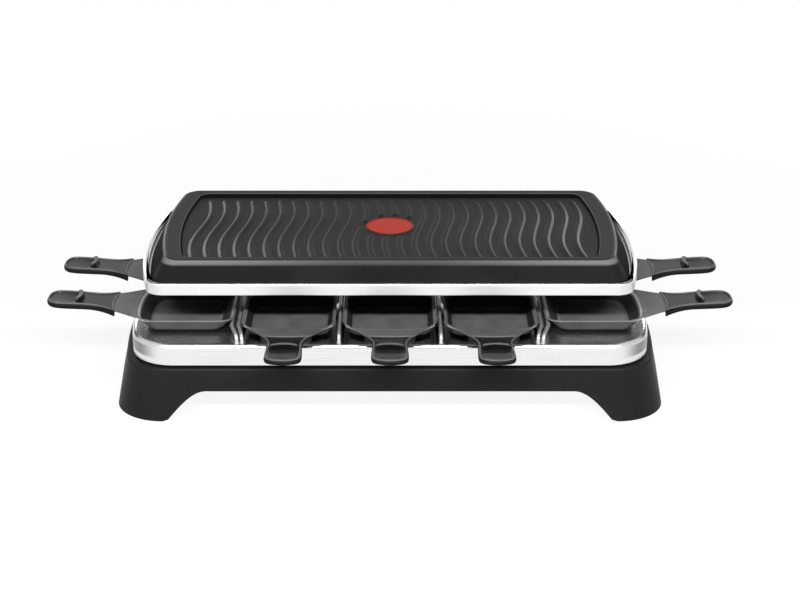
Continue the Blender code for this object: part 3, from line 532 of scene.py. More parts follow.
def bent(corners, radius, steps, end_radius=None):
    """A path through corner points with round bends."""
    points = [Vector(corners[0])]
    radii = [radius] * (len(corners) - 2)
    radii[0] = radii[-1] = end_radius or radius
    for before, corner, after, bend in zip(corners, corners[1:], corners[2:], radii):
        middle = Vector(corner)
        back = (Vector(before) - middle).normalized()
        ahead = (Vector(after) - middle).normalized()
        half = back.angle(ahead) / 2
        centre = middle + (back + ahead).normalized() * (bend / sin(half))
        first = (middle + back * (bend / tan(half)) - centre).normalized()
        last = (middle + ahead * (bend / tan(half)) - centre).normalized()
        points += [centre + first.slerp(last, step / steps) * bend for step in range(steps + 1)]
    points.append(Vector(corners[-1]))
    return points


def neighbours(points, index):
    """The points before and after one, or the point itself at an end."""
    return points[max(index - 1, 0)], points[min(index + 1, len(points) - 1)]


def tube_rings(points, radii, sides=20):
    """Rings round a path, turned so that the skin doesn't twist."""
    rings = []
    angles = [2 * pi * side / sides for side in range(sides)]
    across = (points[1] - points[0]).normalized().orthogonal()
    for index, (point, radius) in enumerate(zip(points, radii)):
        before, after = neighbours(points, index)
        along = (after - before).normalized()
        across = (across - along * across.dot(along)).normalized()
        third = along.cross(across)
        rings.append([point + (across * cos(a) + third * sin(a)) * radius for a in angles])
    return rings


def mesh_of(form, name):
    mesh = bpy.data.meshes.new(name)
    form.to_mesh(mesh)
    form.free()
    return mesh


def smooth(mesh):
    mesh.shade_smooth()
    mesh.set_sharp_from_angle(angle=SMOOTH_ANGLE)


def skin(name, bodies, closed=False):
    """A mesh of lofted bodies, each a list of rings."""
    form = bmesh.new()
    for rings in bodies:
        rows = [[form.verts.new(point) for point in ring] for ring in rings]
        count = len(rows[0])
        for low, high in zip(rows, rows[1:] + rows[:1] if closed else rows[1:]):
            for i in range(count):
                j = (i + 1) % count
                form.faces.new((low[i], low[j], high[j], high[i]))
        if not closed:
            form.faces.new(rows[0])
            form.faces.new(rows[-1])
    bmesh.ops.recalc_face_normals(form, faces=form.faces)
    mesh = mesh_of(form, name)
    smooth(mesh)
    return mesh


def new_object(name, data):
    item = bpy.data.objects.new(name, data)
    bpy.context.scene.collection.objects.link(item)
    return item


def add_piece(name, data, slot, body, *nodes, at=None, weighted=True):
    """Put a piece in the scene on its body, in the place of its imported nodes."""
    item = new_object(name, data)
    if at is not None:
        item.matrix_world = at
    if not data.materials:
        data.materials.append(finish_of(slot))
    if weighted:
        modifier = item.modifiers.new("flat_faces_stay_flat", "WEIGHTED_NORMAL")
        modifier.keep_sharp = True
        modifier.weight = 80
    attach(item, body)
    if nodes:
        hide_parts(*nodes)
    return item


def dress(node, slot):
    """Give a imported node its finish."""
    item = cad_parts[node]
    item.data.materials.clear()
    item.data.materials.append(finish_of(slot))
    smooth(item.data)


# Base: outlines are half length, half depth, bow of the ends and corner

FOOT = mm(269, 120.5, 12, 48)
CROWN = mm(258, 117, 12, 40)
DECK = mm(252, 114.5, 12, 42)
SOLE = mm(266.5, 118, 12, 46)
LONG_ARCH = mm(213, 176, 31.5)
END_ARCH = mm(78, 50, 26)
RIBS_AT = mm(62, 130)
SIDE_SHARES = [0.975, 0.96] + [0.96 - 0.0125 * step for step in range(1, 13)] + [0.7, 0.5, 0.3, 0.1]
BASE = metres(top=54, wall=3, lip=0.9, seat=9, shoulder=3, ledge=4.5, round=3.2, rib=1.5, rib_reach=104,
              rib_low=34.8, boss=4.5, boss_low=34.7, boss_rear=48, overlap=0.1, sole_x=213.5, sole_y=78.5,
              sole_low=3.3, sole_top=6.0, pad_middle=0.5, pad_round=0.8)


def arch_height(across, arch):
    """Height of an arch's edge at a distance from its middle."""
    foot, top, height = arch
    rise = min(1.0, max(0.0, (foot - abs(across)) / (foot - top)))
    return height * sin(rise * pi / 2)


class BuildBase(bpy.types.Operator):
    """Moulded base with its feet, arches, inner ribs and rubber pads"""
    bl_idname = "grill.build_base"
    bl_label = "Base"

    def execute(self, context):
        low, high = span("base_shell")
        floor, upstand = low.z, high.z
        top, wall, lip, seat = BASE.top, BASE.wall, BASE.lip, BASE.seat
        shoulder = top - BASE.shoulder
        outlines = {}

        def outline(z, inset=0.0):
            """The base's outline at a height, tapering from the foot to the crown."""
            share = min(1.0, max(0.0, (z - floor) / (shoulder - floor)))
            if (share, inset) not in outlines:
                sizes = [a + (b - a) * share for a, b in zip(FOOT, CROWN)]
                outlines[share, inset] = barrel(*sizes, inset, SIDE_SHARES)
            return outlines[share, inset]

        edge = [max(floor, arch_height(x, LONG_ARCH), arch_height(y, END_ARCH)) for x, y in outline(floor)]

        def band(share, inset, lift=0.0):
            """A ring at a share of the way from the lower edge to the shoulder."""
            heights = [under + lift + (shoulder - under - lift) * share for under in edge]
            return [(*outline(z, inset)[index], z) for index, z in enumerate(heights)]

        inner = barrel(*DECK, seat + wall, SIDE_SHARES)
        outer = barrel(*DECK, seat, SIDE_SHARES)
        rings = [level(inner, upstand), level(outer, upstand), level(outer, top)]
        for inset, z in eased([(BASE.ledge, top, 0), (0.0, top, BASE.round), (0.0, shoulder - 2 * MM, 0)]):
            rings.append(level(outline(min(z, shoulder), inset), z))
        rings += [band(share, 0.0, lip) for share in (0.93, 0.8, 0.6, 0.4, 0.2, 0.06, 0.0)]
        for inset, lift in eased([(0.0, lip, 0), (0.0, 0.0, lip * 2), (lip, 0.0, 0)], 4):
            rings.append(band(0.0, inset, lift))
        rings += [band(0.0, wall - lip / 3, 0.0), band(0.0, wall, lip / 3), band(0.5, wall)]
        rings += [level(outline(shoulder, wall), top - wall), level(inner, top - wall)]
        apron = skin("base_apron", [rings], closed=True)
        add_piece("base_apron", apron, "black_plastic", "base", "base_shell")

        self.build_inside(upstand)
        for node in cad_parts:
            if node.startswith("rubber_foot"):
                _, high, centre, radius = round_span(node)
                middle = BASE.pad_middle
                profile = eased([(middle, 0.0, 0), (radius, 0.0, BASE.pad_round), (radius, high.z, 0)])
                rings = turned([(max(a, middle), b) for a, b in profile], 40, centre)
                add_piece(node + "_pad", skin(node, [rings]), "rubber", "base", node)
        return {"FINISHED"}

    def build_inside(self, upstand):
        """Ribs, bosses and soles under the deck."""
        bodies = []
        reach, near_x, near_y = BASE.rib_reach, BASE.sole_x, BASE.sole_y
        boss = [(BASE.boss, BASE.boss_low), (BASE.boss, upstand + BASE.overlap)]
        for x in RIBS_AT:
            for middle in (-x, x):
                left, right = middle - BASE.rib, middle + BASE.rib
                rib = [(left, -reach), (right, -reach), (right, reach), (left, reach)]
                bodies.append([level(rib, BASE.rib_low), level(rib, upstand)])
                bodies.append(turned(boss, 24, (middle, 0.0)))
            bodies.append(turned(boss, 24, (x, BASE.boss_rear)))
        corner = [(near_x, near_y)] + [(x, y) for x, y in barrel(*SOLE) if x > near_x and y > near_y]
        for side in (-1, 1):
            for way in (-1, 1):
                sole = [(side * x, way * y) for x, y in corner]
                bodies.append([level(sole, BASE.sole_low), level(sole, BASE.sole_top)])
        add_piece("base_ribs", skin("base_ribs", bodies), "black_plastic", "base", "base_shell")


TRAY = metres(sheet=1.2, hem=0.8, lap=20)


class BuildDeck(bpy.types.Operator):
    """Steel deck with its band turned down all round"""
    bl_idname = "grill.build_deck"
    bl_label = "Deck"

    def execute(self, context):
        low, high = span("deck_tray")
        edge = context.scene.grill_sizes.deck_round
        sheet, hem, lap = TRAY.sheet, TRAY.hem, TRAY.lap
        line = eased([(lap, high.z, 0), (0.0, high.z, edge * 1.1), (0.0, low.z, hem), (sheet, low.z, hem / 2),
                      (sheet, high.z - sheet, edge), (lap, high.z - sheet, 0)], 8)
        rings = [level(barrel(high.x, high.y, *DECK[2:], inset), z) for inset, z in line]
        add_piece("deck", skin("deck", [rings]), "brushed_steel", "base", "deck_tray")
        return {"FINISHED"}


RAIL = metres(bend=6, splay=85, weld=1.1, weld_height=0.7, weld_round=0.4)


class BuildRails(bpy.types.Operator):
    """Chrome wire rails between the pans"""
    bl_idname = "grill.build_rails"
    bl_label = "Wire rails"

    def execute(self, context):
        radius = context.scene.grill_sizes.wire / 2
        deck_top = span("deck_tray")[1].z
        profile = eased([(radius, deck_top, 0), (radius + RAIL.weld, deck_top, RAIL.weld_round),
                         (radius, deck_top + RAIL.weld_height, 0)], 3)
        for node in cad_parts:
            if "_rail_" not in node:
                continue
            low, high = span(node)
            height = high.z - radius
            leg_y = high.y - radius
            leg_x, rail_x = sorted((low.x + radius, high.x - radius), key=abs)
            middle = [(rail_x, -RAIL.splay, height), (rail_x, RAIL.splay, height)]
            if node.startswith("divider"):
                leg_x, middle = (low.x + high.x) / 2, []
            corners = [(leg_x, -leg_y, low.z), (leg_x, -leg_y, height), *middle, (leg_x, leg_y, height),
                       (leg_x, leg_y, low.z)]
            path = bent(corners, RAIL.bend, 8)
            rings = tube_rings(path, [radius] * len(path))
            add_piece(node + "_wire", skin(node, [rings]), "chrome", "base", node)
            for word, y in (("front", -leg_y), ("rear", leg_y)):
                weld = skin(node + "_weld", [turned(profile, 20, (leg_x, y))])
                add_piece(f"{node}_weld_{word}", weld, "chrome", "base")
        return {"FINISHED"}


# Pans: drawn with the handle towards +X

PAN_STEPS = 9
NECK_STEPS = 18
PAN = metres(half_length=44.5, half_width=44.5, height=14.2, corner=14, lip=2, shoulder=33.82, neck_end=74.2,
             neck_half=21.5, far_end=51, floor_inner=15.5, floor_far=38, floor_side=8.5, floor_corner=9,
             bead=0.85, bead_rise=0.3, neck_start=46.92)
NECK_EASE = 0.3
NECK_SLOPE = tan(radians(3.4))
BOWL_SQUARE = 0.70
BOWL_TURN = 0.93
FLOOR_BEND = 0.22
WALL_BEND = 0.30
WALL_SHARES = (0.5, 0.7, 0.84)
MOUTH = ((0.90, 1.7 * MM), (0.94, 1.0 * MM), (0.975, 0.5 * MM), (1.0, 0.2 * MM))
WAYS = {"front": (0, -1), "rear": (0, 1), "left": (-1, 0), "right": (1, 0)}


def inner_end(x, half_width, corner):
    """Half of a pan's inner end, from its middle round the corner."""
    points = [(x, 0.0), (x, half_width / 2)]
    for step in range(PAN_STEPS + 1):
        angle = pi - pi / 2 * step / PAN_STEPS
        points.append((x + corner + corner * cos(angle), half_width - corner + corner * sin(angle)))
    return points


def half_rim():
    """Half outline of a pan's rim and neck, from its inner end."""
    points = inner_end(-PAN.half_length, PAN.half_width, PAN.corner)
    for step in range(NECK_STEPS + 1):
        share = step / NECK_STEPS
        narrowing = share + (smoothed(share) - share) * NECK_EASE
        points.append((PAN.shoulder + (PAN.neck_end - PAN.shoulder) * share,
                       PAN.half_width + (PAN.neck_half - PAN.half_width) * narrowing))
    return points + [(PAN.neck_end, PAN.neck_half / 2), (PAN.neck_end, 0.0)]


def half_bowl(x, half_width, corner, shoulder, far_end):
    """Half outline of the bowl with as many points as the rim's."""
    points = inner_end(x, half_width, corner)
    for step in range(NECK_STEPS + 2):
        angle = pi / 2 * BOWL_TURN * step / (NECK_STEPS + 1)
        points.append((shoulder + (far_end - shoulder) * sin(angle) ** BOWL_SQUARE,
                       half_width * cos(angle) ** BOWL_SQUARE))
    return points + [(far_end, 0.0)]


def full(half):
    """Close a half outline by mirroring it."""
    return half + [(x, -y) for x, y in reversed(half[1:-1])]


def offset(points, distance):
    """Move an outline that runs clockwise outwards along its own normals."""
    moved = []
    for index, point in enumerate(points):
        along = Vector(points[(index + 1) % len(points)]) - Vector(points[index - 1])
        along.normalize()
        moved.append((point[0] - along.y * distance, point[1] + along.x * distance))
    return moved


def neck_z(x):
    """Height of the rim's top, which rises along the neck."""
    return PAN.height + max(0.0, x - PAN.neck_start) * NECK_SLOPE


def blend(first, second, share):
    return [(a[0] + (b[0] - a[0]) * share, a[1] + (b[1] - a[1]) * share) for a, b in zip(first, second)]


def pan_mesh(sheet):
    """Pressed pan: floor, eased walls, rolled mouth, flat rim with a bead, and the rising neck."""
    rim = full(half_rim())
    lip, height, side = PAN.lip, PAN.height, PAN.floor_side
    mouth = full(half_bowl(lip - PAN.half_length, PAN.half_width - lip, PAN.corner - lip, PAN.shoulder,
                           PAN.far_end))
    floor = full(half_bowl(PAN.floor_inner - PAN.half_length, PAN.half_width - side, PAN.floor_corner,
                           PAN.shoulder - side, PAN.floor_far))
    centre = [(x / 2, y / 2) for x, y in floor]
    slope = height - sheet

    def wall(share, z, grow=0.0):
        return level(offset(blend(floor, mouth, share), grow), z)

    def lip_ring(share, drop=0.0, inset=0.0):
        return [(x, y, neck_z(x) - drop) for x, y in offset(blend(mouth, rim, share), -inset)]

    rise = []
    for step in range(7):
        part = step / 6
        rise.append((WALL_BEND * part ** 2 - FLOOR_BEND * (1 - part) ** 2, WALL_BEND * slope * part ** 2))
    rise += [(share, share * slope) for share in WALL_SHARES]
    rings = [level(centre, sheet)] + [wall(share, sheet + z) for share, z in rise]
    rings += [wall(share, height - under) for share, under in MOUTH]
    rings += [lip_ring(0.12, 0.04 * MM), lip_ring(0.35), lip_ring(0.65, 0.0, 0.1 * MM)]
    for step in range(9):
        angle = pi * (step / 8 * 1.15 - 0.10)
        rings.append(lip_ring(1.0, PAN.bead * (1 - cos(angle)) - PAN.bead_rise,
                              PAN.bead * (1 - sin(angle))))
    rings += [lip_ring(0.5, sheet), lip_ring(0.1, sheet), wall(0.97, slope - 0.3 * MM, sheet / 2)]
    rings += [wall(share, z, sheet / 2) for share, z in reversed(rise[1:])]
    rings.append(level(centre, 0.0))
    return skin("pan", [rings])


# Handles: flare, waist and spoon are shares of the length

HANDLE = metres(root=71.7, tip=139.5, root_half=23.5, waist_half=16.25, spoon_half=17, root_bow=1.8, rise=3.2,
                skirt=3.6, seat=0.6, side_drop=0.6, side_bow=0.9, bead_inset=1.0, bead_height=0.9, sunk=0.7,
                dish=2.2, dish_half=13.5, dish_end=2.5, stop=108.5, stop_bow=3.6, stop_height=3.8,
                stop_half=12.75, stop_wall=4.2, stop_foot=1.2, stop_lean=0.8)
FLARE_END = 0.38
SPOON_START = 0.74
TIP_START = 0.80
SPINE_STEPS = 16
BEAD_STEPS = 8
ROOT_POINTS = 15
SIDE_SHARES_UP = (0.08, 0.2, 0.35, 0.5, 0.62, 0.74, 0.86, 0.95)
UNDERSIDE = ((12.5, 0.6, 0.1), (6.0, 0.6, 1.0), (2.2, 0.5, 1.0), (1.7, 0.0, 1.0), (1.2, 0.0, 1.0))
LOWER, UPPER = range(2)
# Face parts of a handle; bead faces carry a painted highlight and skirt faces painted shade.
TOP_FACE, BEAD_FACE, SKIRT_FACE, DISH_FACE = range(4)
GRIP_SLOTS = ("handle_plastic", "handle_bead", "handle_skirt", "handle_dish")


def half_width_at(share):
    """Half width of a handle at a share of its length: flared root, waist, square-ended spoon."""
    if share < FLARE_END:
        flare = HANDLE.root_half - HANDLE.waist_half
        return HANDLE.waist_half + flare * (1 - share / FLARE_END) ** 2.2
    if share < SPOON_START:
        part = smoothed((share - FLARE_END) / (SPOON_START - FLARE_END))
        return HANDLE.waist_half + (HANDLE.spoon_half - HANDLE.waist_half) * part
    part = max(0.0, (share - TIP_START) / (1 - TIP_START))
    return HANDLE.spoon_half * (1 - part ** 3.0) ** 0.42


def handle_plan(inset):
    """Closed plan of a handle drawn in by an inset, from one root corner round the tip to the other."""
    root = HANDLE.root + inset
    length = HANDLE.tip - inset - root
    shares = [step / 26 * TIP_START for step in range(27)]
    shares += [TIP_START + (1 - TIP_START) * sin(pi / 2 * step / 16) for step in range(1, 16)]
    side = []
    for share in shares:
        half = half_width_at(share)
        widest = HANDLE.spoon_half if share > TIP_START else half
        side.append((root + length * share, -half * (1 - inset / widest)))
    end = [(root + length, side[-1][1] * part / 4) for part in range(3, -4, -1)]
    edge = [(root + HANDLE.root_bow * (1 - (part / 8) ** 2), -side[0][1] * part / 8)
            for part in range(7, -8, -1)]
    return side + end + [(x, -y) for x, y in reversed(side)] + edge


def handle_share(x):
    """How far along a handle a place is, from 0 at the root to 1 at the tip."""
    return min(1.0, max(0.0, (x - HANDLE.root) / (HANDLE.tip - HANDLE.root)))


def handle_levels(x):
    """Lower edge and top of a handle at a distance along it."""
    share = handle_share(x)
    middle = neck_z(x) - HANDLE.seat
    thin = 1.0 - 0.2 * max(0.0, (share - 0.7) / 0.3) ** 1.5
    deep = 0.85 + 0.75 * max(0.0, 1 - share / 0.40) ** 1.4
    rise = HANDLE.rise * (0.62 + 0.38 * smoothed(share / 0.55))
    return middle - HANDLE.skirt * deep * thin, middle + rise * thin


def sunk(x, y):
    """Height of a handle's sunk top: flat at the root, with a dish behind the thumb stop."""
    start = HANDLE.stop - HANDLE.stop_bow * (1 - min(1.0, abs(y) / HANDLE.stop_half) ** 2)
    along = min(1.0, max(0.0, (x - start) / (HANDLE.tip - HANDLE.dish_end - start)))
    dish = smoothed(along / 0.10) * (1.0 - along) ** 0.9
    hollow = max(0.0, 1 - (abs(y) / HANDLE.dish_half) ** 2.6)
    return handle_levels(x)[UPPER] - HANDLE.sunk - HANDLE.dish * dish * hollow * handle_share(x)


def handle_mesh(bead):
    """Moulded handle: a bowed side, a bead all round, a groove inside it and a sunk spoon."""

    def ring(inset, edge, rise=0.0, narrow=1.0):
        """A ring at an inset, above the lower or the upper edge."""
        return [(x, y * narrow, handle_levels(x)[edge] + rise) for x, y in handle_plan(inset)]

    def side(inset, share):
        """A ring part of the way from the lower edge to the top."""
        points = []
        for x, y in handle_plan(inset):
            low, top = handle_levels(x)
            points.append((x, y, low + (top - HANDLE.side_drop - low) * share))
        return points

    rings = [ring(inset * MM, LOWER, rise * MM, narrow) for inset, rise, narrow in UNDERSIDE]
    rings += [side(HANDLE.side_bow * (abs(share - 0.5) / 0.5) ** 2.2, share) for share in SIDE_SHARES_UP]
    bead_start = len(rings) - 1
    for step in range(BEAD_STEPS + 1):
        angle = pi * step / BEAD_STEPS
        rings.append(ring(HANDLE.bead_inset + bead / 2 * (1 - cos(angle)), UPPER,
                          HANDLE.bead_height * sin(angle) - HANDLE.side_drop))
    rings += [ring(bead + inset, UPPER, -1.4 * MM) for inset in mm(1.3, 1.9)]
    rings.append([(x, y, sunk(x, y)) for x, y in handle_plan(2.2 * MM + bead)])
    form = bmesh.new()
    grid = [[form.verts.new(point) for point in points] for points in rings]
    for number, (first, second) in enumerate(zip(grid, grid[1:])):
        part = TOP_FACE
        if number <= bead_start + BEAD_STEPS:
            part = SKIRT_FACE if number < bead_start else BEAD_FACE
        for index in range(len(first)):
            after = (index + 1) % len(first)
            face = form.faces.new((first[index], first[after], second[after], second[index]))
            face.material_index = part
    form.faces.new(list(reversed(grid[0])))
    fill_top(form, grid[-1])
    bmesh.ops.recalc_face_normals(form, faces=form.faces)
    return mesh_of(form, "handle")


def fill_top(form, rim):
    """Fill a handle's rim with rows of faces across it."""
    last = len(rim) - ROOT_POINTS - 1
    half = (last + 1) // 2
    rows = []
    for index in range(half):
        row = [rim[index]]
        for step in range(1, SPINE_STEPS):
            place = rim[index].co.lerp(rim[last - index].co, step / SPINE_STEPS)
            row.append(form.verts.new((place.x, place.y, sunk(place.x, place.y))))
        rows.append(row + [rim[last - index]])
    for one, two in zip(rows, rows[1:]):
        for index in range(SPINE_STEPS):
            face = form.faces.new((one[index], one[index + 1], two[index + 1], two[index]))
            face.material_index = DISH_FACE if one[index].co.x > HANDLE.stop else TOP_FACE
    form.faces.new(rows[-1] + [rim[half]]).material_index = DISH_FACE
    form.faces.new(rows[0] + rim[last + 1:])


def stop_mesh():
    """Crescent thumb stop, open towards the tip."""
    rows = []
    steps = 22
    half, foot = HANDLE.stop_half, HANDLE.stop_foot
    for step in range(steps + 1):
        share = 2 * step / steps - 1
        y = half * share
        x = HANDLE.stop + foot - HANDLE.stop_bow * (1 - share ** 2)
        across = Vector((1.0, -2 * HANDLE.stop_bow * share / half)).normalized()
        ends = max(0.0, 1 - abs(share) ** 9) ** 0.5
        thick = HANDLE.stop_wall / 2 * (0.35 + 0.65 * ends)
        base = neck_z(x) - HANDLE.seat + HANDLE.rise - foot
        high = base + foot + HANDLE.stop_height * (0.45 + 0.55 * ends)
        lean = HANDLE.stop_lean * ends
        rounding = thick * 0.35
        profile = eased([(-thick * 1.2, base, 0), (lean - thick * 0.9, high, rounding),
                         (lean + thick, high, rounding), (thick, base, 0)], 4)
        rows.append([(x + across.x * a, y + across.y * a, b) for a, b in profile])
    return skin("thumb_stop", [rows])


class BuildPans(bpy.types.Operator):
    """Pressed pans with their moulded handles"""
    bl_idname = "grill.build_pans"
    bl_label = "Pans"

    def execute(self, context):
        sizes = context.scene.grill_sizes
        bowl = pan_mesh(sizes.pan_sheet)
        grip = handle_mesh(sizes.collar)
        for slot in GRIP_SLOTS:
            grip.materials.append(finish_of(slot))
        stop = stop_mesh()
        stop.materials.append(finish_of("handle_stop"))
        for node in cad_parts:
            kind, _, place = node.partition("_")
            if kind != "pan":
                continue
            low, high = span(node)
            way = WAYS[place.split("_")[0]]
            half = Vector((PAN.half_length, PAN.half_length, 0.0))
            middles = {1: low + half, -1: high - half, 0: (low + high) / 2}
            centre = (middles[way[0]].x, middles[way[1]].y, low.z)
            at = Matrix.Translation(centre) @ Matrix.Rotation(atan2(way[1], way[0]), 4, "Z")
            add_piece("bowl_" + place, bowl, "pan_coating", node, node, at=at)
            add_piece("grip_" + place, grip, "handle_plastic", node, "handle_" + place, at=at)
            add_piece("stop_" + place, stop, "handle_plastic", node, "handle_" + place, at=at)
        return {"FINISHED"}


# Heater

CASING = metres(bow=14.5, corner=18, sheet=1.2, ledge=132, foot=15, lap=10)
CASING_RIM = mm(233, 104.8, 10, 14)
CASING_SEAT = mm(231.5, 103.6, 9.5, 12.5)
ELEMENT = metres(radius=3.25, pin=1.8, pin_length=14, near=80, far=112, inner=30, bend=10, pin_bend=5.5,
                 step=0.3)
SCREW = metres(shank=1.8, head=2.2, round=0.8, edge=0.7, middle=0.1, slot=0.8)
DRESSED = {"element_strap": "dark_steel", "column_left": "dark_steel", "column_right": "dark_steel",
           "element_seal": "ceramic", "terminal_block": "ceramic", "supply_block": "ceramic",
           "cord_clamp": "ceramic", "cord_gland": "rubber", "wiring_cover": "black_plastic",
           "live_lead": "brown_lead", "earth_lead": "green_lead", "neutral_lead": "blue_lead"}


class BuildHeater(bpy.types.Operator):
    """Heater casing, element, straps, uprights and wiring"""
    bl_idname = "grill.build_heater"
    bl_label = "Heater"

    def execute(self, context):
        self.build_casing()
        self.build_element()
        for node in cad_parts:
            if "screw" in node:
                self.build_screw(node)
            for start, slot in DRESSED.items():
                if node.startswith(start):
                    dress(node, slot)
        return {"FINISHED"}

    def build_casing(self):
        low, high = span("heater_casing")
        outer = (high.x, high.y, CASING.bow, CASING.corner)
        sheet, ledge, foot, top = CASING.sheet, CASING.ledge, CASING.foot, high.z
        skirt = eased([(5 * MM, top, 0), (0.0, top, 2.4 * MM), (0.0, low.z, sheet), (foot, low.z, 0),
                       (foot, low.z + sheet, 0), (sheet, low.z + sheet, 2 * MM),
                       (sheet, ledge - sheet - 2 * MM, 0)], 7)
        well = eased([(-2.2 * MM, top, 0), (0.0, top, 0.9 * MM), (0.0, ledge, 0.8 * MM),
                      (1.6 * MM, ledge, 0)], 4)
        rings = [level(barrel(*CASING_SEAT, CASING.lap), ledge)]
        rings += [level(barrel(*CASING_RIM, inset), z) for inset, z in reversed(well)]
        rings += [level(barrel(*outer, inset), z) for inset, z in skirt]
        rings += [level(barrel(*CASING_RIM), ledge - sheet),
                  level(barrel(*CASING_SEAT, CASING.lap), ledge - sheet)]
        add_piece("casing_band", skin("casing_band", [rings], closed=True), "satin_steel", "base",
                  "heater_casing")

    def build_element(self):
        low, high = span("heating_element")
        radius, near, far, inner = ELEMENT.radius, ELEMENT.near, ELEMENT.far, ELEMENT.inner
        z = high.z - radius
        outer = high.y - radius
        left, right = low.x + radius, high.x - radius
        stop = low.z + ELEMENT.pin_length
        corners = [(near, 0.0, stop), (near, 0.0, z), (near, -inner, z), (left, -inner, z), (left, -outer, z),
                   (right, -outer, z), (right, outer, z), (left, outer, z), (left, inner, z), (far, inner, z),
                   (far, 0.0, z), (far, 0.0, stop)]
        tube = bent(corners, ELEMENT.bend, 10, ELEMENT.pin_bend)
        first, last = [[Vector((x, 0.0, low.z)), Vector((x, 0.0, stop - ELEMENT.step))] for x in (near, far)]
        radii = [ELEMENT.pin] * 2 + [radius] * len(tube) + [ELEMENT.pin] * 2
        rings = tube_rings(first + tube + last[::-1], radii)
        add_piece("element_tube", skin("element_tube", [rings]), "element_tube", "base", "heating_element")

    def build_screw(self, node):
        """Pan-head screw with a cross recess."""
        low, high, centre, radius = round_span(node)
        head_up = not node.startswith("cover")
        length = high.z - low.z
        shank, head, middle = SCREW.shank, SCREW.head, SCREW.middle
        line = [(middle, 0.0, 0), (radius * 0.72, 0.0, SCREW.round), (radius, head * 0.55, SCREW.edge),
                (radius, head, 0.0), (shank, head, 0), (shank, length, 0), (middle, length, 0)]
        profile = [(a, high.z - b if head_up else low.z + b) for a, b in eased(line, 4)]
        item = add_piece(node + "_head", skin(node, [turned(profile, 28, centre)]), "zinc", "base", node)
        form = bmesh.new()
        face = high.z if head_up else low.z
        for size in ((SCREW.slot, radius * 1.2, head), (radius * 1.2, SCREW.slot, head)):
            made = bmesh.ops.create_cube(form, size=1.0)
            bmesh.ops.scale(form, vec=size, verts=made["verts"])
            bmesh.ops.translate(form, vec=(*centre, face), verts=made["verts"])
        cutter = new_object(node + "_recess", mesh_of(form, node + "_recess"))
        modifier = item.modifiers.new("cross_recess", "BOOLEAN")
        modifier.operation = "DIFFERENCE"
        modifier.solver = "EXACT"
        modifier.use_self = True
        modifier.object = cutter
        settle(item)
        bpy.data.objects.remove(cutter)


def settle(item):
    """Apply a piece's modifiers."""
    bpy.context.view_layer.update()
    reader = item.evaluated_get(bpy.context.evaluated_depsgraph_get())
    mesh = bpy.data.meshes.new_from_object(reader)
    item.modifiers.clear()
    item.data = mesh


# Grill plate

PLATE = metres(bulge=9.5, corner=12.5, top_bulge=1.0, top_corner=6.5, floor_depth=3.5, floor_thickness=4.5,
               wall=4.5, draft=1.5, shoulder_run=2.6, end_lean=12.8, end_round=1.8, under_lean=7.3,
               rim_end=27.7, rim_side=10.1, slope=3, lip=0.8, edge_flat=1.2, edge_turn=5.0, rib_front=-93.5,
               rib_back=81.5, rib_end=6, front_end=4, back_end=9, rib_root=0.2, rib_foot=1.2, spot_clear=27)
RIB_COUNT = 27
RIB_STEPS = 72
RIB_ACROSS = [part / 5 for part in range(-5, 6)]
END_ROUND_SHARE = 0.08


